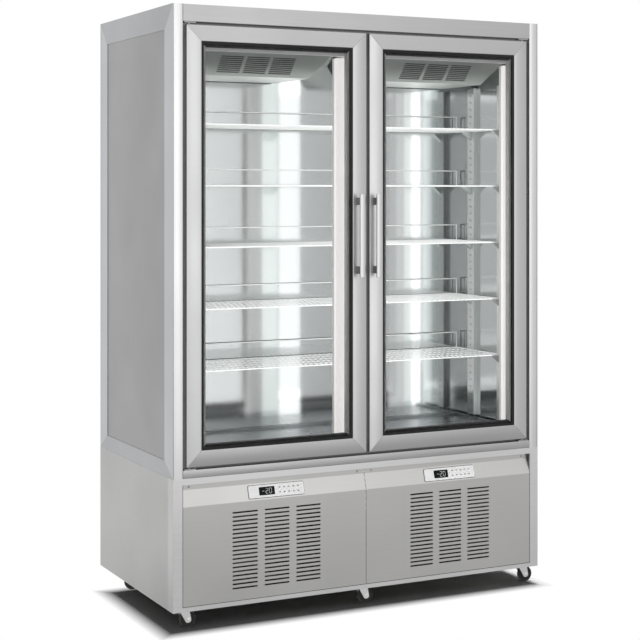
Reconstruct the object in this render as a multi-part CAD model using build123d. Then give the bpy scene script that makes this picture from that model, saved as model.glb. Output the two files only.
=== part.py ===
from build123d import *
import os
from math import atan2, cos, degrees, radians, sin

# Two-door upright freezer display case on six casters, with glass doors and wire shelves.
# Millimetres, +Z up, X to the right seen from the front, and the doors face -Y.
# The origin is on the floor, under the middle of the case with its handles.
os.makedirs("parts", exist_ok=True)

# Overall case
case_width = 1290.0
case_depth = 660.0
skirt_height = 56.0
base_height = 393.0
upper_height = 1401.0
outer_sheet = 2.0
liner_sheet = 1.0

# Front frame of the upper case
post_width = 32.0
head_height = 52.0
sill_height = 24.0

# Side frames and panels of the upper case
side_stile = 70.0
side_top_rail = 73.0
side_bottom_rail = 47.0
side_panel_sheet = 1.2

# Walls of the cold space
side_wall = 50.0
back_wall = 247.5
ceiling_wall = 130.0
floor_wall = 54.0
jamb_depth = 20.0
jamb_cover = 18.0
mullion_width = 74.0
mullion_depth = 40.0

# Doors
door_depth = 45.0
door_side_gap = 11.5
door_top_gap = 8.0
door_bottom_gap = 7.0
door_meeting_gap = 10.6
door_meeting_place = 7.0
door_rail = 48.0
glass_recess = 4.0
pane_thickness = 5.0
glazing_depth = 30.0
seal_border = 8.0
spacer_width = 8.0
gasket_inset = 8.0
gasket_width = 16.0
gasket_depth = 10.0
seal_gap = 0.3

# Door pivots
pivot_inset = 12.0
pivot_radius = 4.0
pivot_reach = 24.0
pivot_plate = 3.0
pivot_plate_length = 36.0
pivot_plate_width = 20.0
running_fit = 0.05
bore_end_gap = 2.0

# Door handles
handle_length = 258.0
handle_width = 18.0
handle_thickness = 8.0
handle_round = 2.4
handle_standoff = 27.0
handle_centre_height = 1158.0
handle_place = 29.3
standoff_width = 10.0
standoff_height = 23.0
standoff_end = 22.0

# Shelves, their uprights and brackets
shelf_count = 5
lowest_shelf = 744.0
shelf_pitch = 189.0
shelf_front_gap = 45.0
shelf_back_gap = 12.0
shelf_side_gap = 16.0
shelf_wire = 5.0
shelf_border = 7.0
shelf_bars = 46
shelf_cross_bars = 3
rail_height = 52.0
rail_wire = 6.0
upright_width = 40.0
upright_depth = 14.0
upright_hole = 6.0
upright_hole_pitch = 24.0
upright_clearance = 5.0
upright_spacing = 185.0
upright_back_gap = 100.0
bracket_drop = 28.0
bracket_width = 12.0
bracket_overlap = 32.0

# Floor tray
tray_margin = 16.0
tray_front_gap = 35.0
tray_back_gap = 4.0
tray_height = 6.0
tray_sheet = 1.5
tray_bead = 8.0

# Evaporator hoods, coils and fans under the ceiling
hood_half_width = 240.0
hood_bottom_half_width = 195.0
hood_height = 67.0
hood_slope_depth = 62.0
hood_front_gap = 12.0
hood_back_gap = 20.0
hood_sheet = 1.5
hood_slot_columns = 3
hood_slot_rows = 9
hood_slot_length = 76.0
hood_slot_height = 4.0
hood_slot_pitch = 7.6
hood_slot_column_gap = 12.0
evaporator_width = 300.0
evaporator_depth = 70.0
evaporator_height = 44.0
evaporator_back_gap = 10.0
evaporator_fan_radius = 70.0
evaporator_fan_depth = 18.0
evaporator_fan_setback = 140.0
evaporator_motor_radius = 26.0
evaporator_motor_height = 24.0

# Lamp bars
lamp_width = 33.0
lamp_depth = 30.0
lamp_back = 12.0
lamp_round = 7.0
lamp_end_gap = 6.0

# Base front
base_top_rail = 19.0
flange_height = 17.0
fascia_height = 48.0
flange_recess = 14.0
base_bottom_rail = 14.5
base_angle = 3.0
base_angle_depth = 40.0
vent_sheet = 1.5
panel_joint = 1.5
vent_columns = 3
vent_rows = 19
vent_length = 82.0
vent_height = 4.8
vent_pitch = 12.6
vent_column_gap = 24.0
vent_top_margin = 31.0
back_vent_rows = 10
back_vent_length = 160.0
back_vent_height = 8.0
back_vent_pitch = 22.0
screw_radius = 3.5
screw_head = 2.0
screw_head_round = 1.4
screw_shank = 2.0
screw_length = 8.0
screw_inset = 24.0

# Controllers on the sloping fascia
controller_width = 185.0
controller_height = 38.0
controller_plate = 4.0
controller_body_width = 168.0
controller_body_height = 28.0
controller_body_depth = 26.0
controller_fit = 0.3
display_width = 52.0
display_height = 25.0
display_depth = 0.8
display_offset = -33.0

# Machinery in the base
pan_height = 18.0
pan_sheet = 2.0
condenser_width = 230.0
condenser_depth = 46.0
condenser_height = 240.0
condenser_gap = 60.0
condenser_fan_radius = 105.0
condenser_fan_depth = 26.0
condenser_fan_gap = 14.0
condenser_motor_radius = 32.0
condenser_motor_length = 60.0
motor_gap = 4.0
motor_stand_width = 30.0
motor_stand_inset = 7.5
fan_hub_radius = 22.0
fan_blade_root = 17.6
fan_blades = 6
fan_blade_sheet = 2.0
fan_blade_pitch = 28.0
shaft_radius = 4.0
compressor_radius = 85.0
compressor_height = 170.0
compressor_back_gap = 260.0
compressor_round = 40.0
compressor_foot = 30.0
compressor_foot_sheet = 5.0
compressor_foot_reach = 76.5
stub_radius = 8.0
stub_length = 15.0
coil_fin_pitch = 10.0
coil_fin_sheet = 1.0
coil_tube_radius = 5.0
coil_tube_pitch = 24.0
coil_stub = 10.0
line_radius = 5.0
line_bend = 24.0
line_offset = 50.0
drier_radius = 14.0
drier_length = 80.0
drain_pan_width = 180.0
drain_pan_depth = 240.0
drain_pan_height = 60.0
drain_pan_sheet = 2.0
drain_pan_back_gap = 80.0
gland_radius = 11.0
gland_bore = 5.5
gland_length = 12.0
gland_inset = 160.0

# Casters
wheel_radius = 25.0
wheel_width = 18.0
wheel_tread_round = 5.0
caster_side_inset = 44.0
caster_front_inset = 40.0
caster_back_inset = 135.0
caster_trail = 18.0
caster_plate = 4.0
caster_plate_size = 60.0
kingpin_radius = 5.0
crown_radius = 20.0
crown_thickness = 4.0
crown_gap = 3.0
fork_sheet = 2.5
fork_gap = 1.5
fork_top_length = 34.0
fork_tip_radius = 9.0
axle_radius = 4.0
axle_head_radius = 6.0
axle_head = 2.5

# Reach of the cuts that go through a sheet
cut_reach = 12.0

# Places worked out from the sizes above
left = -case_width / 2
right = case_width / 2
handle_reach = handle_standoff + handle_thickness
front = (handle_reach - case_depth) / 2
back = front + case_depth
seam = skirt_height + base_height
top = seam + upper_height
jamb_front = front + door_depth + gasket_depth + seal_gap
jamb_back = jamb_front + jamb_depth
inner_right = right - side_wall
inner_left = -inner_right
inner_back = back - back_wall
ceiling = top - ceiling_wall
floor = seam + floor_wall
jamb_inner = inner_right - jamb_cover
door_bottom = seam + sill_height + door_bottom_gap
door_top = top - head_height - door_top_gap
door_outer = right - post_width - door_side_gap
section_centre = case_width / 4
pan_top = skirt_height + pan_height + pan_sheet
pan_bottom = skirt_height + pan_height


on_base = (Align.CENTER, Align.CENTER, Align.MIN)


def block(x0, x1, y0, y1, z0, z1):
    """A box between two corners."""
    return Pos(x0, y0, z0) * Box(x1 - x0, y1 - y0, z1 - z0, align=(Align.MIN,) * 3)


def slab_xz(points, y0, y1):
    """An upright plate: an outline of (x, z) points, thick from y0 to y1."""
    outline = Polyline(*[(x, y0, z) for x, z in points], close=True)
    return extrude(make_face(outline), amount=y1 - y0, dir=(0, 1, 0))


def slab_yz(points, x0, x1):
    """A plate across the case: an outline of (y, z) points, thick from x0 to x1."""
    outline = Polyline(*[(x0, y, z) for y, z in points], close=True)
    return extrude(make_face(outline), amount=x1 - x0, dir=(1, 0, 0))


def mitred(slab, box, widths, thick):
    """Four rails round a rectangle, with mitred corners: left, right, bottom and top."""
    u0, u1, z0, z1 = box
    wide_left, wide_right, wide_bottom, wide_top = widths
    a0, a1 = u0 + wide_left, u1 - wide_right
    b0, b1 = z0 + wide_bottom, z1 - wide_top
    outlines = [
        [(u0, z0), (a0, b0), (a0, b1), (u0, z1)],
        [(u1, z0), (u1, z1), (a1, b1), (a1, b0)],
        [(u0, z0), (u1, z0), (a1, b0), (a0, b0)],
        [(u0, z1), (a0, b1), (a1, b1), (u1, z1)],
    ]
    return [slab(points, *thick) for points in outlines]


def rod(radius, start, end):
    """A round bar between two points."""
    axis = Vector(*end) - Vector(*start)
    return Plane(origin=start, z_dir=axis) * Cylinder(radius, axis.length, align=on_base)


def both_sides(make):
    """The same piece on the left (-1) and on the right (+1)."""
    return [make(-1), make(1)]


def across(side, x0, x1):
    """The span x0 to x1, measured out from the middle, on one side."""
    return sorted((side * x0, side * x1))


def save(node, pieces):
    """Write one node's solids to its own file."""
    solids = [solid for piece in pieces for solid in piece.solids()]
    export_step(Compound(solids), f"parts/{node}.step")


# Upper case: frame, panels, insulation and liner
def front_frame():
    posts = both_sides(lambda s: block(
        *across(s, right - post_width, right - outer_sheet), front, jamb_front, seam, top))
    reach = right - post_width
    head = block(-reach, reach, front, jamb_front, top - head_height, top)
    sill = block(-reach, reach, front, jamb_front, seam, seam + sill_height)
    return posts + [head, sill]


def side_frames():
    widths = (side_stile, side_stile, side_bottom_rail, side_top_rail)
    rails = both_sides(lambda s: mitred(
        slab_yz, (front, back, seam, top), widths, across(s, right - outer_sheet, right)))
    return rails[0] + rails[1]


def side_panels():
    outer = right - outer_sheet
    rear = back - outer_sheet
    return both_sides(lambda s: block(
        *across(s, outer - side_panel_sheet, outer), jamb_front, rear, seam, top - outer_sheet))


def roof_panel():
    edge = right - outer_sheet
    return [block(-edge, edge, jamb_front, back, top - outer_sheet, top)]


def back_panel():
    edge = right - outer_sheet
    return [block(-edge, edge, back - outer_sheet, back, seam, top - outer_sheet)]


def insulation():
    outer = right - outer_sheet - side_panel_sheet
    lined = inner_right + liner_sheet
    rear = inner_back + liner_sheet
    shell = back - outer_sheet
    roof = top - outer_sheet
    sides = both_sides(lambda s: block(*across(s, lined, outer), jamb_back, shell, seam, roof))
    rear_slab = block(-lined, lined, rear, shell, seam, roof)
    top_slab = block(-lined, lined, jamb_back, rear, ceiling + liner_sheet, roof)
    floor_slab = block(-lined, lined, jamb_back, rear, seam, floor - liner_sheet)
    return sides + [rear_slab, top_slab, floor_slab]


def inner_liner():
    lined = inner_right + liner_sheet
    rear = inner_back + liner_sheet
    low = floor - liner_sheet
    high = ceiling + liner_sheet
    sides = both_sides(lambda s: block(*across(s, inner_right, lined), jamb_back, rear, low, high))
    rear_sheet = block(inner_left, inner_right, inner_back, rear, low, high)
    ceiling_sheet = block(inner_left, inner_right, jamb_back, inner_back, ceiling, high)
    floor_sheet = block(inner_left, inner_right, jamb_back, inner_back, low, floor)
    return sides + [rear_sheet, ceiling_sheet, floor_sheet]


def opening_trim():
    edge = right - outer_sheet - side_panel_sheet
    side = edge - jamb_inner
    widths = (side, side, floor - seam, top - outer_sheet - ceiling)
    box = (-edge, edge, seam, top - outer_sheet)
    return mitred(slab_xz, box, widths, (jamb_front, jamb_back))


def center_mullion():
    half = mullion_width / 2
    return [block(-half, half, jamb_front, jamb_front + mullion_depth, floor, ceiling)]


# Lamp bars: one on the mullion and one on the right wall, each lighting its own door
lamp_low = floor + lamp_end_gap
lamp_high = ceiling - lamp_end_gap
lamp_places = [
    (-mullion_width / 2 - lamp_width, jamb_front + mullion_depth - lamp_depth),
    (inner_right - lamp_width, jamb_back),
]


def lamp_housings():
    return [block(x, x + lamp_width, y + lamp_depth - lamp_back, y + lamp_depth, lamp_low, lamp_high)
            for x, y in lamp_places]


def lamp_diffusers():
    bars = []
    for x, y in lamp_places:
        bar = block(x, x + lamp_width, y, y + lamp_depth - lamp_back, lamp_low, lamp_high)
        bars.append(fillet(bar.edges().filter_by(Axis.Z).group_by(Axis.Y)[0], lamp_round))
    return bars


# Floor tray: a folded sheet with a raised bead round its edge
def floor_tray():
    x0, x1 = inner_left + tray_margin, inner_right - tray_margin
    y0, y1 = jamb_back + tray_front_gap, inner_back - tray_back_gap
    plate = floor + tray_height
    outer = block(x0, x1, y0, y1, floor, plate)
    hollow = block(x0 + tray_sheet, x1 - tray_sheet, y0 + tray_sheet, y1 - tray_sheet,
                   floor, plate - tray_sheet)
    beads = [block(x0, x1, y, y + tray_bead, plate, plate + tray_bead) for y in (y0, y1 - tray_bead)]
    ends = [block(x, x + tray_bead, y0, y1, plate, plate + tray_bead) for x in (x0, x1 - tray_bead)]
    return [outer - hollow + beads + ends]


# Shelves with their uprights and brackets
upright_low = floor + tray_height + tray_bead + upright_clearance
upright_high = ceiling - hood_height - hood_sheet
mullion_back = jamb_front + mullion_depth
shelf_levels = [lowest_shelf + shelf_pitch * n for n in range(shelf_count)]
shelf_front = jamb_back + shelf_front_gap
shelf_back = inner_back - shelf_back_gap
shelf_outer = inner_right - shelf_side_gap
rear_upright = inner_back - upright_back_gap
side_upright_places = [rear_upright - upright_spacing, rear_upright]


def perforated(strip, face_x, face_y):
    """An upright with its column of bracket holes, cut through the strip at (face_x, face_y)."""
    count = int((upright_high - upright_low) / upright_hole_pitch) - 1
    holes = [Pos(face_x, face_y, upright_low + upright_hole_pitch * (n + 1)) * Box(
        upright_hole, upright_hole, upright_hole) for n in range(count)]
    return strip - holes


def shelf_uprights():
    half = upright_width / 2
    strips = []
    for side in (-1, 1):
        for y in side_upright_places:
            x0, x1 = across(side, inner_right - upright_depth, inner_right)
            strip = block(x0, x1, y - half, y + half, upright_low, upright_high)
            strips.append(perforated(strip, side * (inner_right - upright_depth), y))
    return strips


def shelf_brackets():
    brackets = []
    half = bracket_width / 2
    for level in shelf_levels:
        low = level - bracket_drop
        for side in (-1, 1):
            face = inner_right - upright_depth
            reach = shelf_outer - bracket_overlap
            outline = [(side * face, level), (side * reach, level), (side * face, low)]
            for y in side_upright_places:
                brackets.append(slab_xz(outline, y - half, y + half))
        wide = upright_width / 2
        ahead = shelf_front + bracket_overlap
        brackets.append(slab_yz([(mullion_back, level), (ahead, level), (mullion_back, low)], -wide, wide))
    return brackets


def wire_shelf(level):
    """The wire grid of one level, with its raised wire along the back."""
    width = 2 * shelf_outer
    length = shelf_back - shelf_front
    bar_pitch = (width - shelf_border) / shelf_bars
    row_pitch = (length - shelf_border) / (shelf_cross_bars + 1)
    gap = (bar_pitch - shelf_wire, row_pitch - shelf_border)
    sheet = Rectangle(width, length) - GridLocations(
        bar_pitch, row_pitch, shelf_bars, shelf_cross_bars + 1) * Rectangle(*gap)
    grid = Pos(0, (shelf_front + shelf_back) / 2, level) * extrude(sheet, amount=shelf_wire)
    rail_y = (shelf_back - rail_wire, shelf_back)
    low = level + shelf_wire
    high = low + rail_height
    rail = block(-shelf_outer, shelf_outer, *rail_y, high - rail_wire, high)
    legs = [block(x, x + rail_wire, *rail_y, low, high) for x in (-shelf_outer, shelf_outer - rail_wire)]
    return [grid, rail + legs]


# Evaporator hoods, coils and fans
hood_front = jamb_back + hood_front_gap
hood_back = inner_back - hood_back_gap
evaporator_fan_y = hood_front + evaporator_fan_setback
evaporator_fan_top = ceiling - evaporator_motor_height - motor_gap


def hood_body(inset):
    """A tapered pan under the ceiling: a sloping front and two sloping ends, shrunk by inset."""
    half, half_low = hood_half_width - inset, hood_bottom_half_width - inset
    y0, y1 = hood_front + inset, hood_back - inset
    low = ceiling - hood_height + inset
    ends = slab_xz([(-half, ceiling), (half, ceiling), (half_low, low), (-half_low, low)], y0, y1)
    profile = [(y0, ceiling), (y1, ceiling), (y1, low), (y0 + hood_slope_depth, low)]
    return ends & slab_yz(profile, -half, half)


def evaporator_hoods():
    pan = hood_body(0) - hood_body(hood_sheet)
    slope = degrees(atan2(hood_height, hood_slope_depth))
    middle = Pos(0, hood_front + hood_slope_depth / 2, ceiling - hood_height / 2)
    tilt = middle * Rot(-slope, 0, 0)
    grid = GridLocations(hood_slot_length + hood_slot_column_gap, hood_slot_pitch,
                         hood_slot_columns, hood_slot_rows)
    deep = 6 * hood_sheet
    slots = [tilt * place * Box(hood_slot_length, hood_slot_height, deep) for place in grid]
    hood = pan - slots
    return both_sides(lambda s: Pos(s * section_centre, 0, 0) * hood)


def finned_coil(x, y0, z0, width, depth, height):
    """A stack of upright fins on straight tubes, with a tube stub at its right end."""
    fins = int(width / coil_fin_pitch)
    span = (fins - 1) * coil_fin_pitch
    first = x - span / 2 - coil_fin_sheet / 2
    plates = [block(first + n * coil_fin_pitch, first + n * coil_fin_pitch + coil_fin_sheet,
                    y0, y0 + depth, z0, z0 + height) for n in range(fins)]
    rows = max(1, int(height / coil_tube_pitch))
    lanes = max(1, int(depth / coil_tube_pitch))
    tubes = []
    for row in range(rows):
        for lane in range(lanes):
            z = z0 + height * (row + 0.5) / rows
            y = y0 + depth * (lane + 0.5) / lanes
            tubes.append(rod(coil_tube_radius, (first, y, z), (first + span + coil_stub, y, z)))
    return plates[0] + plates[1:] + tubes


def evaporator_coils():
    y0 = hood_back - evaporator_back_gap - evaporator_depth
    z0 = ceiling - evaporator_height
    return [finned_coil(s * section_centre, y0, z0, evaporator_width, evaporator_depth, evaporator_height)
            for s in (-1, 1)]


def fan_rotor(radius, depth):
    """A hub with pitched blades about +Z, from z = 0 up, bored for its shaft."""
    hub = Cylinder(fan_hub_radius, depth, align=on_base)
    bore = Cylinder(shaft_radius + running_fit, depth, align=on_base)
    chord = depth / sin(radians(fan_blade_pitch)) - 2 * fan_blade_sheet
    inner = fan_blade_root
    blade = Pos((inner + radius) / 2, 0, depth / 2) * Rot(fan_blade_pitch, 0, 0) * Box(
        radius - inner, chord, fan_blade_sheet)
    disc = Cylinder(radius, depth, align=on_base)
    blades = [Rot(0, 0, 360 / fan_blades * n) * blade & disc for n in range(fan_blades)]
    return hub + blades - bore


def evaporator_fan(side):
    rotor = fan_rotor(evaporator_fan_radius, evaporator_fan_depth)
    return [Pos(side * section_centre, evaporator_fan_y, evaporator_fan_top - evaporator_fan_depth) * rotor]


condenser_front = front + condenser_gap
condenser_back = condenser_front + condenser_depth
condenser_fan_front = condenser_back + condenser_fan_gap
condenser_fan_back = condenser_fan_front + condenser_fan_depth
condenser_fan_height = pan_top + condenser_height / 2
condenser_motor_front = condenser_fan_back + motor_gap


def condenser_fan(side):
    rotor = fan_rotor(condenser_fan_radius, condenser_fan_depth)
    return [Pos(side * section_centre, condenser_fan_back, condenser_fan_height) * Rot(90, 0, 0) * rotor]


def fan_motors():
    motors = []
    for side in (-1, 1):
        x = side * section_centre
        y = evaporator_fan_y
        can = rod(evaporator_motor_radius, (x, y, ceiling - evaporator_motor_height), (x, y, ceiling))
        shaft_end = evaporator_fan_top - evaporator_fan_depth
        shaft = rod(shaft_radius, (x, y, shaft_end), (x, y, ceiling))
        motors.append(can + shaft)
        z = condenser_fan_height
        y0, y1 = condenser_motor_front, condenser_motor_front + condenser_motor_length
        body = rod(condenser_motor_radius, (x, y0, z), (x, y1, z))
        spindle = rod(shaft_radius, (x, condenser_fan_front, z), (x, y0, z))
        half = motor_stand_width / 2
        stand = block(x - half, x + half, y0 + motor_stand_inset, y1 - motor_stand_inset, pan_top, z)
        motors.append(body + spindle + stand)
    return motors


# Base: angle-iron frame, panels, vent fronts and controllers
def base_frame():
    low, high = skirt_height, seam
    pieces = []
    for side in (-1, 1):
        flange = across(side, right - post_width, right)
        web = across(side, right - base_angle, right)
        pieces.append(block(*flange, front, front + base_angle, low, high))
        pieces.append(block(*web, front + base_angle, front + base_angle_depth, low, high))
        rear_flange = across(side, right - post_width, right - outer_sheet)
        pieces.append(block(*rear_flange, back - outer_sheet - base_angle, back - outer_sheet, low, high))
        rest = across(side, right - outer_sheet - base_angle_depth, right - outer_sheet)
        pieces.append(block(*rest, front + base_angle_depth, back - outer_sheet - base_angle,
                            high - base_angle, high))
    reach = right - post_width
    pieces.append(block(-reach, reach, front, front + base_angle_depth, high - base_top_rail, high))
    pieces.append(block(-reach, reach, front, front + base_angle, low, low + base_bottom_rail))
    pieces.append(block(-reach, reach, back - outer_sheet - base_angle, back - outer_sheet,
                        low, low + base_bottom_rail))
    return pieces


def base_panels():
    sides = both_sides(lambda s: block(
        *across(s, right - outer_sheet, right), front + base_angle_depth, back, skirt_height, seam))
    edge = right - outer_sheet
    rear = block(-edge, edge, back - outer_sheet, back, skirt_height, seam)
    middle = Pos(0, back - outer_sheet / 2, (skirt_height + seam) / 2)
    slot = Box(back_vent_length, cut_reach, back_vent_height)
    for side in (-1, 1):
        for row in range(back_vent_rows):
            z = (row - (back_vent_rows - 1) / 2) * back_vent_pitch
            rear -= middle * Pos(side * section_centre, 0, z) * slot
    return sides + [rear]


def base_pan():
    edge = right - outer_sheet
    rear = back - outer_sheet - base_angle
    return [block(-edge + base_angle, edge - base_angle, front + base_angle, rear, pan_bottom, pan_top)]


flange_top = seam - base_top_rail
fascia_top = flange_top - flange_height
fascia_bottom = fascia_top - fascia_height
panel_low = skirt_height + base_bottom_rail
panel_half = (right - post_width - panel_joint / 2) / 2
panel_centre = panel_joint / 2 + panel_half
fascia_angle = degrees(atan2(flange_recess, fascia_height))
fascia_middle = Pos(0, front + flange_recess / 2, (fascia_top + fascia_bottom) / 2)
# On the fascia, local X runs across, local Y up the slope and local Z out of its face
fascia_face = fascia_middle * Rot(90 - fascia_angle, 0, 0)


def vent_panel(side):
    """One bent front sheet: recessed flange, sloping fascia and slotted panel."""
    t = vent_sheet
    step = t / cos(radians(fascia_angle)) - t * sin(radians(fascia_angle))
    x0, x1 = -panel_half, panel_half
    y = front
    inner = y + flange_recess
    flange = block(x0, x1, inner, inner + t, fascia_top, flange_top)
    fascia = slab_yz([(y, fascia_bottom), (inner, fascia_top), (inner + t, fascia_top),
                      (y + step + t / 2, fascia_bottom)], x0, x1)
    panel = block(x0, x1, y, y + t, panel_low, fascia_bottom)
    first = fascia_bottom - vent_top_margin
    for row in range(vent_rows):
        for column in range(vent_columns):
            x = (column - (vent_columns - 1) / 2) * (vent_length + vent_column_gap)
            z = first - row * vent_pitch
            panel -= Pos(x, y, z) * Box(vent_length, cut_reach, vent_height)
    window = fascia_face * Box(controller_body_width + 2 * controller_fit,
                               controller_body_height + 2 * controller_fit, cut_reach)
    hole = Pos(0, inner, (flange_top + fascia_top) / 2) * Rot(90, 0, 0) * Cylinder(
        screw_shank + running_fit, cut_reach)
    holes = [Pos(s * (panel_half - screw_inset), 0, 0) * hole for s in (-1, 1)]
    return Pos(side * panel_centre, 0, 0) * (flange - holes + (fascia - window) + panel)


def panel_screws():
    screws = []
    z = (flange_top + fascia_top) / 2
    y = front + flange_recess
    for side in (-1, 1):
        for end in (-1, 1):
            x = side * panel_centre + end * (panel_half - screw_inset)
            head = rod(screw_radius, (x, y - screw_head, z), (x, y, z))
            rim = head.edges().group_by(Axis.Y)[0]
            shank = rod(screw_shank, (x, y, z), (x, y + screw_length, z))
            screws.append(fillet(rim, screw_head_round) + shank)
    return screws


def controllers():
    plate = Pos(0, 0, controller_plate / 2) * Box(controller_width, controller_height, controller_plate)
    plate = fillet(plate.edges().filter_by(Axis.Z), controller_plate / 2)
    body = Pos(0, 0, -controller_body_depth / 2) * Box(
        controller_body_width, controller_body_height, controller_body_depth)
    unit = plate + body
    return both_sides(lambda s: Pos(s * panel_centre, 0, 0) * fascia_face * unit)


def controller_displays():
    window = Pos(display_offset, 0, controller_plate + display_depth / 2) * Box(
        display_width, display_height, display_depth)
    return both_sides(lambda s: Pos(s * panel_centre, 0, 0) * fascia_face * window)


# Machinery in the base
def compressors():
    shells = []
    for side in (-1, 1):
        x, y = side * section_centre, back - compressor_back_gap
        z0 = pan_top + compressor_foot
        shell = rod(compressor_radius, (x, y, z0), (x, y, z0 + compressor_height))
        shell = fillet(shell.edges().filter_by(GeomType.CIRCLE), compressor_round)
        foot_half = compressor_foot_reach
        foot = block(x - compressor_foot / 2, x + compressor_foot / 2, y - foot_half, y + foot_half,
                     pan_top, pan_top + compressor_foot_sheet)
        feet = [Pos(s * foot_half, 0, 0) * foot for s in (-1, 1)]
        legs = block(x - foot_half, x + foot_half, y - compressor_foot, y + compressor_foot,
                     pan_top, z0 + compressor_foot)
        stub = rod(stub_radius, (x, y, z0), (x, y, z0 + compressor_height + stub_length))
        outlet_z = z0 + compressor_height / 2
        outlet = rod(line_radius, (x, y, outlet_z), (x + compressor_radius + stub_length, y, outlet_z))
        shells.append(shell + feet + legs + stub + outlet)
    return shells


def condensers():
    return [finned_coil(s * section_centre, condenser_front, pan_top, condenser_width, condenser_depth,
                        condenser_height) for s in (-1, 1)]


def refrigerant_lines():
    lines = []
    fins = int(condenser_width / coil_fin_pitch)
    coil_end = (fins - 1) * coil_fin_pitch / 2 - coil_fin_sheet / 2 + coil_stub
    rows = max(1, int(condenser_height / coil_tube_pitch))
    lanes = max(1, int(condenser_depth / coil_tube_pitch))
    for side in (-1, 1):
        x, y = side * section_centre, back - compressor_back_gap
        z = pan_top + compressor_foot + compressor_height / 2
        row = round((z - pan_top) * rows / condenser_height - 0.5)
        coil_z = pan_top + condenser_height * (row + 0.5) / rows
        coil_y = condenser_front + condenser_depth * (lanes - 0.5) / lanes
        start = x + compressor_radius + stub_length
        out = start + line_offset
        route = FilletPolyline((start, y, z), (out, y, z), (out, coil_y, coil_z),
                               (x + coil_end, coil_y, coil_z), radius=line_bend)
        line = sweep(Plane(origin=(start, y, z), z_dir=(1, 0, 0)) * Circle(line_radius), path=route)
        half = drier_length / 2
        mid = (y + coil_y) / 2
        lean = (coil_z - z) / (coil_y - y)
        mid_z = z + lean * (mid - y)
        drop = lean * half
        drier = rod(drier_radius, (out, mid - half, mid_z - drop), (out, mid + half, mid_z + drop))
        lines.append(line + drier)
        stub_top = pan_top + compressor_foot + compressor_height + stub_length
        lines.append(rod(line_radius, (x, y, stub_top), (x, y, seam)))
    return lines


def drain_pan():
    x = drain_pan_width / 2
    y1 = back - drain_pan_back_gap
    y0 = y1 - drain_pan_depth
    t = drain_pan_sheet
    outer = block(-x, x, y0, y1, pan_top, pan_top + drain_pan_height)
    return [outer - block(-x + t, x - t, y0 + t, y1 - t, pan_top + t, pan_top + drain_pan_height)]


def cable_gland():
    x, y = right - gland_inset, back - caster_back_inset
    collar = rod(gland_radius, (x, y, pan_bottom - gland_length), (x, y, pan_bottom))
    return [collar - rod(gland_bore, (x, y, pan_bottom - gland_length), (x, y, pan_bottom))]


# Casters, numbered from the front left, then the back row
caster_xs = [left + caster_side_inset, 0, right - caster_side_inset]
caster_ys = [front + caster_front_inset, back - caster_back_inset]
caster_places = [(x, y) for y in caster_ys for x in caster_xs]
plate_bottom = pan_bottom - caster_plate
crown_top = plate_bottom - crown_gap
crown_bottom = crown_top - crown_thickness


def caster_plates():
    plates = []
    half = caster_plate_size / 2
    for x, y in caster_places:
        plate = block(x - half, x + half, y - half, y + half, plate_bottom, pan_bottom)
        plates.append(plate + rod(kingpin_radius, (x, y, crown_bottom), (x, y, plate_bottom)))
    return plates


def caster_fork(x, y):
    """A swivel crown with two stamped cheeks and the wheel's axle bolt, trailing to +X."""
    crown = rod(crown_radius, (x, y, crown_bottom), (x, y, crown_top))
    crown -= rod(kingpin_radius + running_fit, (x, y, crown_bottom), (x, y, crown_top))
    axle_x, axle_z = x + caster_trail, wheel_radius
    cheek_in = wheel_width / 2 + fork_gap
    cheek_out = cheek_in + fork_sheet
    neck = fork_top_length / 2
    tip = fork_tip_radius
    outline = [(x - neck, crown_bottom), (x + neck, crown_bottom), (axle_x + tip, axle_z),
               (axle_x, axle_z - tip), (axle_x - tip, axle_z)]
    cheeks = [slab_xz(outline, y + min(s * cheek_in, s * cheek_out), y + max(s * cheek_in, s * cheek_out))
              for s in (-1, 1)]
    bridge = block(x - neck, x + neck, y - cheek_out, y + cheek_out, crown_bottom, crown_top)
    bridge -= rod(kingpin_radius + running_fit, (x, y, crown_bottom), (x, y, crown_top))
    axle = rod(axle_radius, (axle_x, y - cheek_out, axle_z), (axle_x, y + cheek_out, axle_z))
    head_out = cheek_out + axle_head
    heads = [rod(axle_head_radius, (axle_x, y + s * cheek_out, axle_z), (axle_x, y + s * head_out, axle_z))
             for s in (-1, 1)]
    return [crown + bridge + cheeks + axle + heads]


def caster_wheel(x, y):
    axle_x = x + caster_trail
    half = wheel_width / 2
    tread = rod(wheel_radius, (axle_x, y - half, wheel_radius), (axle_x, y + half, wheel_radius))
    tread = fillet(tread.edges().filter_by(GeomType.CIRCLE), wheel_tread_round)
    bore = rod(axle_radius + running_fit, (axle_x, y - half, wheel_radius), (axle_x, y + half, wheel_radius))
    return [tread - bore]


# Doors and their pivots
def door_span(side):
    return across(side, door_meeting_gap / 2 + side * door_meeting_place, door_outer)


def pivot_axis(side):
    return side * (door_outer - pivot_inset), front + pivot_inset


def hinge_pivots():
    pieces = []
    half = pivot_plate_length / 2
    wide = pivot_plate_width / 2
    for side in (-1, 1):
        x, y = pivot_axis(side)
        for seat, rail, sign in ((top - head_height, door_top, -1), (seam + sill_height, door_bottom, 1)):
            z0, z1 = sorted((seat, seat + sign * pivot_plate))
            plate = block(x - half, x + half, y - wide, y + wide, z0, z1)
            pieces.append(plate + rod(pivot_radius, (x, y, seat), (x, y, rail + sign * pivot_reach)))
    return pieces


def pivot_bores(side):
    x, y = pivot_axis(side)
    deep = pivot_reach + bore_end_gap
    radius = pivot_radius + running_fit
    return [rod(radius, (x, y, door_top - deep), (x, y, door_top)),
            rod(radius, (x, y, door_bottom), (x, y, door_bottom + deep))]


def ring(box, inset, width, y0, y1):
    """A mitred ring of one width, set in from the edges of a door."""
    x0, x1, z0, z1 = box
    return mitred(slab_xz, (x0 + inset, x1 - inset, z0 + inset, z1 - inset), (width,) * 4, (y0, y1))


glass_front = front + glass_recess
glass_back = glass_front + glazing_depth


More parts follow.
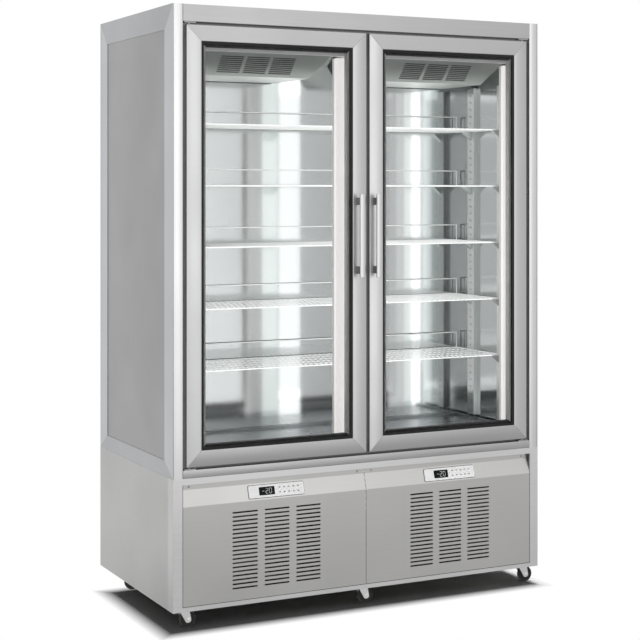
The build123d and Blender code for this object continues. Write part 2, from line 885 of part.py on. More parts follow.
def door_box(side):
    return (*door_span(side), door_bottom, door_top)


def door_frame(side):
    rails = ring(door_box(side), 0, door_rail, front, front + door_depth)
    bored = [rail - pivot_bores(side) for rail in rails]
    spacers = ring(door_box(side), door_rail + seal_border, spacer_width,
                   glass_front + pane_thickness, glass_back - pane_thickness)
    return bored + spacers


def door_glass(side):
    x0, x1, z0, z1 = door_box(side)
    edge = door_rail + seal_border
    panes = (glass_front, glass_back - pane_thickness)
    return [block(x0 + edge, x1 - edge, y, y + pane_thickness, z0 + edge, z1 - edge) for y in panes]


def door_gasket(side):
    seal = ring(door_box(side), door_rail, seal_border, glass_front, glass_back)
    door_back = front + door_depth
    magnet = ring(door_box(side), gasket_inset, gasket_width, door_back, door_back + gasket_depth)
    return seal + magnet


def door_handle(side):
    x = side * handle_place
    half = handle_width / 2
    low, high = handle_centre_height - handle_length / 2, handle_centre_height + handle_length / 2
    bar = block(x - half, x + half, front - handle_reach, front - handle_standoff, low, high)
    bar = fillet(bar.edges().filter_by(Axis.Z), handle_round)
    post = (x - standoff_width / 2, x + standoff_width / 2, front - handle_standoff, front)
    posts = [block(*post, z - standoff_height / 2, z + standoff_height / 2)
             for z in (low + standoff_end, high - standoff_end)]
    return [bar] + posts


single_nodes = [
    front_frame, side_frames, side_panels, roof_panel, back_panel, insulation, inner_liner, opening_trim,
    center_mullion, lamp_housings, lamp_diffusers, floor_tray, shelf_uprights, shelf_brackets,
    evaporator_hoods, evaporator_coils, fan_motors, base_frame, base_panels, base_pan, panel_screws,
    controllers, controller_displays, compressors, condensers, refrigerant_lines, drain_pan, cable_gland,
    caster_plates, hinge_pivots,
]
for make_node in single_nodes:
    save(make_node.__name__, make_node())

save("vent_panels", both_sides(vent_panel))

for number, shelf_level in enumerate(shelf_levels, 1):
    save(f"shelf_{number}", wire_shelf(shelf_level))

for side_name, side_sign in (("left", -1), ("right", 1)):
    for make_pair in (evaporator_fan, condenser_fan, door_frame, door_glass, door_gasket, door_handle):
        save(f"{make_pair.__name__}_{side_name}", make_pair(side_sign))

for number, place in enumerate(caster_places, 1):
    save(f"caster_fork_{number}", caster_fork(*place))
    save(f"caster_wheel_{number}", caster_wheel(*place))
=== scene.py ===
"""Looks of a two-door upright freezer display case, built around its CAD frame.

Metres, +Z up, X to the right seen from the front, and the doors face -Y.
"""

import math

import bmesh
import bpy
import numpy as np
from bpy.props import FloatProperty, FloatVectorProperty, IntProperty, PointerProperty, StringProperty
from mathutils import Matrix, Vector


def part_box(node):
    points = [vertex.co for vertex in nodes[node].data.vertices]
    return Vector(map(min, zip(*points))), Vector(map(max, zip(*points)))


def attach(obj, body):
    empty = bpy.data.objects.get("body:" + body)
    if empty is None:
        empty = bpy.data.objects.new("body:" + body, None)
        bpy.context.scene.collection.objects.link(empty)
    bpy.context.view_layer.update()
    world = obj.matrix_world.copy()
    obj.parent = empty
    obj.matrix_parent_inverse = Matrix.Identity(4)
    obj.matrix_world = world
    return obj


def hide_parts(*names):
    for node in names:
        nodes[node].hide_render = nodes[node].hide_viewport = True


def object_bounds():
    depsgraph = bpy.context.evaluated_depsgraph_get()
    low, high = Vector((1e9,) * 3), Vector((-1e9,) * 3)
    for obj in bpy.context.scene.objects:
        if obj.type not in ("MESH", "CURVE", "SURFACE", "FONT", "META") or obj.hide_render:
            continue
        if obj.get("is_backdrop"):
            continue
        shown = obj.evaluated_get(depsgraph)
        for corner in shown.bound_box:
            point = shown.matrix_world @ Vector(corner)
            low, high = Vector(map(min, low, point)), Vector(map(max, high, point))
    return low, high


bl_info = {
    "name": "Refrigerated display case",
    "version": (1, 0, 0),
    "blender": (4, 5, 0),
    "location": "View3D > Sidebar > Display case",
    "description": "Builds the looks of a two-door freezer display case around its CAD frame",
    "category": "Object",
}

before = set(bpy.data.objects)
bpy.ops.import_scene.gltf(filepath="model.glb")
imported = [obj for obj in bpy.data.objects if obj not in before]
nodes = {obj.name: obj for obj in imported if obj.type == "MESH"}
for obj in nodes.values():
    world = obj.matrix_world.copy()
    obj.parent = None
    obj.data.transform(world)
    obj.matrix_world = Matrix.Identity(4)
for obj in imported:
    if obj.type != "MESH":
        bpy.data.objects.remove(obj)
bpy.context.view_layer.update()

SIDES = ("left", "right")
SHELVES = [f"shelf_{n}" for n in range(1, 6)]
CASTERS = range(1, 7)
X, Y, Z = np.eye(3)

# Directions in which a finish is brushed, as noise cells per metre along X, Y and Z
ALONG_X = (9.0, 420.0, 420.0)
ALONG_Y = (420.0, 9.0, 420.0)
ALONG_Z = (420.0, 420.0, 9.0)
EVEN = (260.0, 260.0, 260.0)

# The range that holds most of a noise's values
MIDDLE = (0.3, 0.7)

# Lit panels behind the doors that only mirrors show: name, left and right edge and power of a square metre
PANELS = (
    ("dim_left", -0.118, -0.092, 1.25),
    ("grey_left", -0.092, -0.050, 0.6),
    ("green_left", -0.050, 0.015, 2.8),
    ("white_left", 0.015, 0.098, 6.0),
    ("grey_right", 0.455, 0.528, 2.6),
    ("green_right", 0.528, 0.553, 3.2),
    ("white_right", 0.553, 0.592, 7.0),
)

# Tint of the panels that are named green
GREENISH = (0.93, 1.0, 0.97)

# Tones of the mirrored room by its sideways direction, from the left
ROOM = ((0.10, 0.95), (0.28, 1.55), (0.38, 1.45), (0.44, 0.86), (0.48, 0.74), (0.56, 0.66), (0.66, 0.62))

# Segments of a seven-segment figure, from the top clockwise and the middle last
FIGURES = {"-": "g", "0": "abcdef", "2": "abged"}

# Thickness of the figures and key marks on the controllers
MARK = 0.0003

# Angle past which an edge is sharp
CREASE = math.radians(35)

# Share of Z in a direction past which it counts as upright
STEEP = 0.9


class CaseSizes(bpy.types.PropertyGroup):
    """Sizes of the detail that the looks add to the CAD pieces."""

    post_width: FloatProperty(
        name="Post width", description="Width of the front frame's posts", default=0.030, unit="LENGTH")
    head_height: FloatProperty(
        name="Head height", description="Height of the front frame's head rail",
        default=0.052, unit="LENGTH")
    sill_height: FloatProperty(
        name="Sill height", description="Height of the front frame's sill rail",
        default=0.024, unit="LENGTH")
    side_stile: FloatProperty(
        name="Side stile", description="Width of the side frames' stiles", default=0.070, unit="LENGTH")
    side_top: FloatProperty(
        name="Side top rail", description="Height of the side frames' top rail",
        default=0.073, unit="LENGTH")
    side_bottom: FloatProperty(
        name="Side bottom rail", description="Height of the side frames' bottom rail",
        default=0.047, unit="LENGTH")
    sheet: FloatProperty(
        name="Side sheet", description="Thickness of the side frames", default=0.002, unit="LENGTH")
    joint: FloatProperty(
        name="Joint line", description="Open line between two rails", default=0.0006, unit="LENGTH")
    edge: FloatProperty(
        name="Rail edge", description="Rounding of the front rails' long edges",
        default=0.0022, unit="LENGTH")
    sheet_edge: FloatProperty(
        name="Sheet edge", description="Rounding of thin sheet edges", default=0.0006, unit="LENGTH")
    door_rail: FloatProperty(
        name="Door rail", description="Width of the door frames' rails", default=0.048, unit="LENGTH")
    door_depth: FloatProperty(
        name="Door depth", description="Depth of the door frames", default=0.045, unit="LENGTH")
    glass_edge: FloatProperty(
        name="Glass border", description="Black border between a door rail and the spacer",
        default=0.008, unit="LENGTH")
    spacer: FloatProperty(
        name="Spacer bar", description="Width of the bars between the panes", default=0.008, unit="LENGTH")
    spacer_front: FloatProperty(
        name="Spacer front", description="From a door's face to the spacer bars",
        default=0.009, unit="LENGTH")
    spacer_depth: FloatProperty(
        name="Spacer depth", description="Gap between the panes", default=0.020, unit="LENGTH")
    handle_thickness: FloatProperty(
        name="Handle thickness", description="Thickness of the handle bars", default=0.008, unit="LENGTH")
    handle_edge: FloatProperty(
        name="Handle edge", description="Rounding of the handle bars", default=0.0028, unit="LENGTH")
    handle_post: FloatProperty(
        name="Handle post", description="Width of the handle posts", default=0.010, unit="LENGTH")
    handle_post_height: FloatProperty(
        name="Post height", description="Height of the handle posts", default=0.023, unit="LENGTH")
    handle_end: FloatProperty(
        name="Handle end", description="From a bar's end to its post's middle",
        default=0.022, unit="LENGTH")
    wire: FloatProperty(
        name="Shelf wire", description="Radius of the shelf wires", default=0.0009, unit="LENGTH")
    wire_border: FloatProperty(
        name="Shelf border", description="Radius of the wire round a shelf", default=0.0018, unit="LENGTH")
    wire_pitch: FloatProperty(
        name="Wire pitch", description="Spacing of the shelf wires", default=0.0180, unit="LENGTH")
    cross_wires: IntProperty(name="Cross wires", description="Wires across each shelf", default=4, min=1)
    shelf_thickness: FloatProperty(
        name="Shelf thickness", description="Thickness of the wire grid", default=0.005, unit="LENGTH")
    hood_centre: FloatProperty(
        name="Hood centre", description="From the case's middle to a hood's", default=0.3225, unit="LENGTH")
    hood_slope: FloatProperty(
        name="Hood slope", description="Depth of a hood's sloping front", default=0.062, unit="LENGTH")
    # Painted shade: a dark sheet behind each hood's slots stands for the shade inside the hood
    hood_painted_shade: FloatProperty(
        name="Hood shade", description="Width of the dark sheet behind a hood's slots",
        default=0.300, unit="LENGTH")
    hood_painted_shade_gap: FloatProperty(
        name="Shade gap", description="From a hood's slots to the sheet behind them",
        default=0.008, unit="LENGTH")
    hood_painted_shade_share: FloatProperty(
        name="Shade share", description="Share of the slope that the sheet covers",
        default=0.85, min=0, max=1)
    # Painted shade: dark strips in the gaps at the vent panels' sides and foot
    seam: FloatProperty(
        name="Seam", description="Width of the dark line round the vent panels",
        default=0.0013, unit="LENGTH")
    painted_gap_shade_depth: FloatProperty(
        name="Seam depth", description="How far the dark line stands on the frame",
        default=0.0003, unit="LENGTH")
    bezel_width: FloatProperty(
        name="Bezel width", description="Width of a controller's front", default=0.185, unit="LENGTH")
    bezel_height: FloatProperty(
        name="Bezel height", description="Height of a controller's front", default=0.038, unit="LENGTH")
    bezel_depth: FloatProperty(
        name="Bezel depth", description="Thickness of a controller's front", default=0.004, unit="LENGTH")
    # Painted shade: a dark outline round each controller for the shade in the gap round it
    bezel_rim_shade: FloatProperty(
        name="Bezel rim", description="Width of the black seal round a controller",
        default=0.0014, unit="LENGTH")
    window_width: FloatProperty(
        name="Window width", description="Width of the display window", default=0.052, unit="LENGTH")
    window_height: FloatProperty(
        name="Window height", description="Height of the display window", default=0.025, unit="LENGTH")
    window_offset: FloatProperty(
        name="Window offset", description="Display window's centre from the bezel's",
        default=-0.033, unit="LENGTH")
    fascia_recess: FloatProperty(
        name="Fascia recess", description="How far the fascia's top lies behind its foot",
        default=0.014, unit="LENGTH")
    fascia_height: FloatProperty(
        name="Fascia height", description="Height of the sloping fascia", default=0.048, unit="LENGTH")
    fascia_middle: FloatProperty(
        name="Fascia middle", description="Height of the fascia's middle above the floor",
        default=0.389, unit="LENGTH")
    figures: StringProperty(name="Figures", description="Figures on the displays", default="-20")


class CaseColours(bpy.types.PropertyGroup):
    """Colours of the finishes."""

    # Painted light and shade: the front posts and the head and sill rails are one steel, the posts given a
    # lighter tone and the rails a darker one
    front_steel: FloatVectorProperty(
        name="Front rails", description="Satin steel of the head and sill rails",
        default=(0.56, 0.56, 0.56), subtype="COLOR", min=0, max=1)
    front_post_lit_tone: FloatVectorProperty(
        name="Front posts", description="Satin steel of the front posts",
        default=(0.87, 0.87, 0.87), subtype="COLOR", min=0, max=1)
    # Painted light and shade: the side frames' stiles and level rails are one steel, the stiles given a
    # lighter tone and the rails a darker one
    side_stile_lit_tone: FloatVectorProperty(
        name="Side frames", description="Satin steel of the side frames",
        default=(0.54, 0.55, 0.56), subtype="COLOR", min=0, max=1)
    side_rail_shaded_tone: FloatVectorProperty(
        name="Side rails", description="Satin steel of the side frames' level rails",
        default=(0.44, 0.45, 0.46), subtype="COLOR", min=0, max=1)
    side_sheet: FloatVectorProperty(
        name="Side panels", description="Brushed sheet of the side panels",
        default=(0.38, 0.38, 0.38), subtype="COLOR", min=0, max=1)
    # Painted light and shade: the doors' stiles and level rails are one aluminium, the stiles given a lighter
    # tone and the rails a darker one
    door_stile_lit_tone: FloatVectorProperty(
        name="Door stiles", description="Satin aluminium of the doors' uprights",
        default=(0.69, 0.69, 0.69), subtype="COLOR", min=0, max=1)
    door_rail_shaded_tone: FloatVectorProperty(
        name="Door rails", description="Satin aluminium of the doors' level rails",
        default=(0.57, 0.57, 0.57), subtype="COLOR", min=0, max=1)
    base_frame: FloatVectorProperty(
        name="Base frame", description="Satin steel of the base's angle frame",
        default=(0.85, 0.85, 0.85), subtype="COLOR", min=0, max=1)
    aluminium: FloatVectorProperty(
        name="Aluminium", description="Mill aluminium of fins and lamp backs",
        default=(0.56, 0.56, 0.56), subtype="COLOR", min=0, max=1)
    handle: FloatVectorProperty(
        name="Handles", description="Brushed steel of the handles",
        default=(0.76, 0.76, 0.77), subtype="COLOR", min=0, max=1)
    liner: FloatVectorProperty(
        name="Liner", description="Polished steel of the cold space",
        default=(0.53, 0.55, 0.55), subtype="COLOR", min=0, max=1)
    trim: FloatVectorProperty(
        name="Trim", description="Light grey plastic round the opening",
        default=(0.56, 0.56, 0.56), subtype="COLOR", min=0, max=1)
    lamp: FloatVectorProperty(
        name="Lamps", description="Milky lamp covers",
        default=(0.80, 0.785, 0.775), subtype="COLOR", min=0, max=1)
    tray: FloatVectorProperty(
        name="Tray", description="Steel of the floor tray",
        default=(0.25, 0.265, 0.275), subtype="COLOR", min=0, max=1)
    wire: FloatVectorProperty(
        name="Shelves", description="Plastic-coated shelf wire",
        default=(0.86, 0.88, 0.87), subtype="COLOR", min=0, max=1)
    support: FloatVectorProperty(
        name="Uprights", description="Steel of uprights and brackets",
        default=(0.58, 0.60, 0.59), subtype="COLOR", min=0, max=1)
    hood: FloatVectorProperty(
        name="Hoods", description="Enamel of the evaporator hoods",
        default=(0.40, 0.43, 0.41), subtype="COLOR", min=0, max=1)
    base: FloatVectorProperty(
        name="Base panels", description="Grey of the base panels",
        default=(0.54, 0.54, 0.535), subtype="COLOR", min=0, max=1)
    vent: FloatVectorProperty(
        name="Vent panels", description="Satin steel of the vent panels",
        default=(0.67, 0.665, 0.65), subtype="COLOR", min=0, max=1)
    bezel: FloatVectorProperty(
        name="Controllers", description="White plastic of the controllers",
        default=(0.86, 0.86, 0.86), subtype="COLOR", min=0, max=1)
    rubber: FloatVectorProperty(
        name="Rubber", description="Black seals and wheels",
        default=(0.012, 0.012, 0.012), subtype="COLOR", min=0, max=1)
    zinc: FloatVectorProperty(
        name="Zinc", description="Plated forks, screws and pivots",
        default=(0.50, 0.50, 0.49), subtype="COLOR", min=0, max=1)
    # Painted light: the caster forks get a brighter tone than the other zinc-plated parts
    fork: FloatVectorProperty(
        name="Forks", description="Bright plating of the caster forks",
        default=(0.93, 0.93, 0.92), subtype="COLOR", min=0, max=1)
    copper: FloatVectorProperty(
        name="Copper", description="Refrigerant lines",
        default=(0.72, 0.40, 0.26), subtype="COLOR", min=0, max=1)
    foam: FloatVectorProperty(
        name="Foam", description="Insulation between the sheets",
        default=(0.80, 0.70, 0.45), subtype="COLOR", min=0, max=1)
    black: FloatVectorProperty(
        name="Black parts", description="Displays, motors, fans and pans",
        default=(0.018, 0.018, 0.020), subtype="COLOR", min=0, max=1)
    # Painted shade: the handle posts get a dark tone for the shade between bar and door
    post: FloatVectorProperty(
        name="Handle posts", description="Darker steel of the handle posts",
        default=(0.20, 0.20, 0.20), subtype="COLOR", min=0, max=1)
    key: FloatVectorProperty(
        name="Key marks", description="Faint marks on the controllers",
        default=(0.60, 0.61, 0.62), subtype="COLOR", min=0, max=1)
    figure: FloatVectorProperty(
        name="Figures", description="Lit figures on the displays",
        default=(0.86, 0.90, 0.92), subtype="COLOR", min=0, max=1)


class StageSettings(bpy.types.PropertyGroup):
    """Camera, floor and lights of the picture."""

    camera: FloatVectorProperty(
        name="Camera", description="Place of the camera",
        default=(-2.2948, -4.5523, 1.3051), subtype="TRANSLATION", unit="LENGTH")
    yaw: FloatProperty(
        name="Yaw", description="Turn of the camera from +Y towards +X",
        default=math.radians(26.71), unit="ROTATION")
    lens: FloatProperty(name="Lens", description="Focal length in millimetres", default=86.78, min=1)
    drop: FloatProperty(
        name="Vertical shift", description="Camera shift that keeps the uprights parallel", default=-0.2056)
    floor: FloatVectorProperty(
        name="Floor", description="Colour of the floor",
        default=(0.95, 0.95, 0.95), subtype="COLOR", min=0, max=1)
    ambient: FloatProperty(
        name="Ambient", description="Strength of the room's light on the object", default=0.05, min=0)
    room: FloatProperty(
        name="Mirrored room", description="Strength of the room where it is mirrored", default=1.0, min=0)
    dark: FloatProperty(
        name="Mirrored floor", description="Tone of the mirrored floor before the case",
        default=0.47, min=0)
    dark_place: FloatProperty(
        name="Mirrored place", description="Middle of the darker mirrored floor along Y",
        default=-1.5, unit="LENGTH")
    dark_near: FloatProperty(
        name="Mirrored near", description="Half sizes of the case within which the mirrored floor is dark",
        default=3.0, min=0)
    dark_far: FloatProperty(
        name="Mirrored far", description="Half sizes of the case beyond which the mirrored floor is pale",
        default=6.0, min=0)
    shadow_x: FloatProperty(
        name="Shadow X", description="Middle of the floor that keeps the shadow",
        default=-0.016, unit="LENGTH")
    shadow_y: FloatProperty(
        name="Shadow Y", description="Middle of the floor that keeps the shadow",
        default=-0.061, unit="LENGTH")
    shadow_half_x: FloatProperty(
        name="Shadow half width", description="Half the width that keeps the shadow",
        default=0.664, unit="LENGTH")
    shadow_half_y: FloatProperty(
        name="Shadow half depth", description="Half the depth that keeps the shadow",
        default=0.284, unit="LENGTH")
    shadow_fade: FloatProperty(
        name="Shadow fade", description="Width of the edge where the floor turns white",
        default=0.06, unit="LENGTH")
    key: FloatProperty(
        name="Key light", description="Power of the large light at the front left",
        default=8.0, min=0, unit="POWER")
    top: FloatProperty(
        name="Top light", description="Power of the light overhead", default=280.0, min=0, unit="POWER")
    lamp: FloatProperty(
        name="Mirrored panels", description="Strength of the lit panels behind the doors",
        default=1.0, min=0)
    panel_y: FloatProperty(
        name="Panel place", description="Place of the lit panels along Y", default=-0.160, unit="LENGTH")
    fill: FloatProperty(
        name="Fill light", description="Power of the soft light behind the doors",
        default=5.2, min=0, unit="POWER")
    glow: FloatProperty(
        name="Wall glow", description="Power of the soft light before the back wall",
        default=2.6, min=0, unit="POWER")


def rounded_rectangle(width, depth, radius, steps=4):
    """Outline of a rectangle from (0, 0), its corners arcs c + r (cos t, sin t)."""
    quarter = np.arange(4)[:, None] * math.pi / 2
    turns = quarter + np.linspace(0, math.pi / 2, steps + 1)
    far, deep = width - radius, depth - radius
    centres = np.array([[far, deep], [radius, deep], [radius, radius], [far, radius]])
    arcs = centres[:, None] + radius * np.stack((np.cos(turns), np.sin(turns)), -1)
    return arcs.reshape(-1, 2)


def rounded_outline(corners, radii, steps=6):
    """A polygon whose corner p becomes an arc tangent to both sides, r / tan(half angle) from p."""
    corners = np.asarray(corners, float)
    back = np.roll(corners, 1, axis=0) - corners
    ahead = np.roll(corners, -1, axis=0) - corners
    back /= np.linalg.norm(back, axis=1)[:, None]
    ahead /= np.linalg.norm(ahead, axis=1)[:, None]
    half = np.arccos(np.clip((back * ahead).sum(1), -1, 1)) / 2
    reach = np.asarray(radii) / np.tan(half)
    middle = back + ahead
    middle /= np.linalg.norm(middle, axis=1)[:, None]
    centres = corners + middle * (np.asarray(radii) / np.sin(half))[:, None]
    first = corners + back * reach[:, None] - centres
    last = corners + ahead * reach[:, None] - centres
    share = np.linspace(0, 1, steps + 1)[None, :, None]
    arcs = first[:, None] * (1 - share) + last[:, None] * share
    arcs *= np.asarray(radii)[:, None, None] / np.linalg.norm(arcs, axis=2)[:, :, None]
    return (centres[:, None] + arcs).reshape(-1, 2)


def loft(rings):
    """Skin over closed rings of equal count, with flat ends."""
    count, size = rings.shape[:2]
    index = np.arange(count * size).reshape(count, size)
    after = np.roll(index, -1, axis=1)
    quads = np.stack((index[:-1], after[:-1], after[1:], index[1:]), -1).reshape(-1, 4)
    return rings.reshape(-1, 3), quads.tolist() + [index[0][::-1].tolist(), index[-1].tolist()]


def join(parts):
    """One mesh out of several."""
    verts, faces, count = [], [], 0
    for part_verts, part_faces in parts:
        verts.append(part_verts)
        faces += [[count + corner for corner in face] for face in part_faces]
        count += len(part_verts)
    return np.concatenate(verts), faces


def bar(origin, axis, side, inward, length, profile, mitres=(0.0, 0.0), joint=0.0):
    """A profile (u, v) carried from s = joint / 2 + m0 u to s = length - joint / 2 - m1 u along an axis."""
    u, v = profile.T
    base = np.asarray(origin) + np.outer(u, side) + np.outer(v, inward)
    start = joint / 2 + mitres[0] * u
    end = length - joint / 2 - mitres[1] * u
    return loft(np.stack((base + np.outer(start, axis), base + np.outer(end, axis))))


def mitred_frame(corner, across, up, inward, size, widths, depth, radius, joint):
    """Four mitred bars round a rectangle: left, right, bottom and top."""
    corner = np.asarray(corner)
    wide, high = size
    left, right, bottom, top = widths
    outlines = [rounded_rectangle(width, depth, radius) for width in widths]
    return [
        bar(corner, up, across, inward, high, outlines[0], (bottom / left, top / left), joint),
        bar(corner + wide * across, up, -across, inward, high, outlines[1], (bottom / right, top / right),
            joint),
        bar(corner, across, up, inward, wide, outlines[2], (left / bottom, right / bottom), joint),
        bar(corner + high * up, across, -up, inward, wide, outlines[3], (left / top, right / top), joint),
    ]


def rods(starts, ends, radius, sides=10):
    """Round bars: p + r (cos t u + sin t v) at both ends of each start and end pair."""
    starts, ends = np.asarray(starts, float), np.asarray(ends, float)
    axis = ends - starts
    axis /= np.linalg.norm(axis, axis=1)[:, None]
    helper = np.where(np.abs(axis[:, 2:]) < STEEP, Z, X)
    u = np.cross(axis, helper)
    u /= np.linalg.norm(u, axis=1)[:, None]
    v = np.cross(axis, u)
    turns = np.linspace(0, 2 * math.pi, sides, endpoint=False)[:, None]
    ring = radius * (np.cos(turns) * u[:, None] + np.sin(turns) * v[:, None])
    return join([loft(np.stack((a + around, b + around))) for a, b, around in zip(starts, ends, ring)])


def lathe(profile, centre, axis, sides=48):
    """A profile of (radius, height) turned about an axis: c + h a + r (cos t u + sin t v)."""
    axis = np.asarray(axis, float)
    helper = Z if abs(axis[2]) < STEEP else X
    u = np.cross(axis, helper)
    v = np.cross(axis, u)
    turns = np.linspace(0, 2 * math.pi, sides, endpoint=False)
    around = np.outer(np.cos(turns), u) + np.outer(np.sin(turns), v)
    radius, height = np.asarray(profile, float).T
    rings = np.asarray(centre) + height[:, None, None] * axis + radius[:, None, None] * around
    return loft(rings)


def plate(outline, origin, across, up, thickness):
    """A flat outline on two directions, thick along their cross product."""
    flat = np.asarray(origin) + np.outer(outline[:, 0], across) + np.outer(outline[:, 1], up)
    return loft(np.stack((flat, flat + thickness * np.cross(across, up))))


def block(low, high):
    """A box between two corners."""
    low, high = np.asarray(low, float), np.asarray(high, float)
    size = high - low
    outline = np.array([[0, 0], [size[0], 0], [size[0], size[1]], [0, size[1]]])
    return plate(outline, low, X, Y, size[2])


def corners_of(node):
    """The low and the high corner of a CAD node's box."""
    return [np.array(corner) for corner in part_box(node)]


def make_piece(name, part, finish_name, body, replaced=(), bevel=0.0):
    """A mesh object with its finish, riding on a body."""
    verts, faces = part
    mesh = bpy.data.meshes.new(name)
    mesh.from_pydata(verts.tolist(), [], faces)
    shell = bmesh.new()
    shell.from_mesh(mesh)
    bmesh.ops.recalc_face_normals(shell, faces=shell.faces)
    shell.to_mesh(mesh)
    shell.free()
    mesh.shade_smooth()
    mesh.set_sharp_from_angle(angle=CREASE)
    mesh.materials.append(finish(finish_name))
    made = bpy.data.objects.new(name, mesh)
    bpy.context.scene.collection.objects.link(made)
    if bevel:
        rounding = made.modifiers.new("Edges", "BEVEL")
        rounding.width = bevel
        rounding.segments = 2
        rounding.limit_method = "ANGLE"
        rounding.angle_limit = CREASE
    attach(made, body)
    if replaced:
        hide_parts(*replaced)
    return made


def dress(finish_name, *names):
    """Give CAD nodes a finish."""
    for name in names:
        slots = nodes[name].data.materials
        for index in range(len(slots)):
            slots[index] = finish(finish_name)


def new_material(name):
    """An empty Principled material: the material, its tree and its shader."""
    made = bpy.data.materials.new(name)
    made.use_nodes = True
    return made, made.node_tree, made.node_tree.nodes["Principled BSDF"]


def put(tree, kind, inputs, output, operation=None):
    """A new shader node whose inputs are values or other nodes' sockets: its output of that name."""
    made = tree.nodes.new(f"ShaderNode{kind}")
    if operation:
        made.operation = operation
    for key, value in inputs.items():
        if isinstance(value, bpy.types.NodeSocket):
            tree.links.new(value, made.inputs[key])
        else:
            made.inputs[key].default_value = value
    return made.outputs[output]


def place_on(tree):
    """The object's own coordinates."""
    return put(tree, "TexCoord", {}, "Object")


def sideways(tree, vector):
    """The X of a vector."""
    return put(tree, "SeparateXYZ", {"Vector": vector}, "X")


def graded(tree, value, start, end, low, high):
    """A value carried from the range start to end over to low to high, which may be sockets."""
    inputs = {"Value": value, "From Min": start, "From Max": end, "To Min": low, "To Max": high}
    return put(tree, "MapRange", inputs, "Result")


def mottle(tree, cells, detail):
    """Noise on the object's own coordinates, with its cells per metre along X, Y and Z."""
    place = put(tree, "Mapping", {"Vector": place_on(tree), "Scale": cells}, "Vector")
    return put(tree, "TexNoise", {"Vector": place, "Scale": 1.0, "Detail": detail}, "Fac")


def between(tree, factor, low, high):
    """The noise's middle range spread from low to high."""
    return graded(tree, factor, *MIDDLE, low, high)


def tinted(tree, factor, colour, spread):
    """A colour that wanders by a share either way."""
    ramp = tree.nodes.new("ShaderNodeValToRGB")
    for stop, position, share in zip(ramp.color_ramp.elements, MIDDLE, (1 - spread, 1 + spread)):
        stop.position = position
        stop.color = [min(1.0, channel * share) for channel in colour] + [1.0]
    tree.links.new(factor, ramp.inputs["Fac"])
    return ramp.outputs["Color"]


def surface(name, colour, rough, metallic=0.0, grain=EVEN, spread=0.04, bump=0.04, edge=0.0008, coat=0.0,
            gloss=0.5):
    """A finish with fine grain in its colour and bump, slow clouds in its roughness and softened edges."""
    made, tree, shader = new_material(name)
    fine = mottle(tree, grain, detail=3.0)
    clouds = mottle(tree, (3.0, 3.0, 3.0), detail=2.0)
    tree.links.new(tinted(tree, fine, colour, spread), shader.inputs["Base Color"])
    tree.links.new(between(tree, clouds, low=rough * 0.85, high=rough * 1.15), shader.inputs["Roughness"])
    rounding = tree.nodes.new("ShaderNodeBevel")
    rounding.samples = 4
    rounding.inputs["Radius"].default_value = edge
    relief = {"Strength": bump, "Distance": 0.0006, "Height": fine, "Normal": rounding.outputs["Normal"]}
    tree.links.new(put(tree, "Bump", relief, "Normal"), shader.inputs["Normal"])
    shader.inputs["Metallic"].default_value = metallic
    shader.inputs["Coat Weight"].default_value = coat
    shader.inputs["Specular IOR Level"].default_value = gloss
    return made


def clear_glass(name):
    """Clear panes: a thin veil of reflection over what is behind them."""
    made, tree, shader = new_material(name)
    haze = mottle(tree, (6.0, 6.0, 6.0), detail=3.0)
    tree.links.new(tinted(tree, haze, (0.86, 0.90, 0.89), spread=0.03), shader.inputs["Base Color"])
    tree.links.new(between(tree, haze, low=0.01, high=0.03), shader.inputs["Roughness"])
    shader.inputs["Alpha"].default_value = 0.012
    return made


def lamp_and_painted_glow(name, colour, strength, rough):
    """Lamp covers and lit figures, which give light, and pale pieces with a painted glow: a plain surface
    with a little light of its own.
    """
    made = surface(name, colour, rough, bump=0.01)
    shader = made.node_tree.nodes["Principled BSDF"]
    shader.inputs["Emission Color"].default_value = (*colour, 1.0)
    shader.inputs["Emission Strength"].default_value = strength
    return made


def painted_side_shade(made, reach, share):
    """Painted shade: dim a finish to a share of its tone on the faces at a reach either way along X."""
    tree = made.node_tree
    colour = tree.nodes["Principled BSDF"].inputs["Base Color"]
    away = put(tree, "Math", {0: sideways(tree, place_on(tree))}, "Value", "ABSOLUTE")
    fade = 0.0002
    end = reach - fade / 2
    level = graded(tree, away, end - fade, end, 1.0, share)
    dim = put(tree, "HueSaturation", {"Value": level, "Color": colour.links[0].from_socket}, "Color")
    tree.links.new(dim, colour)
    return made


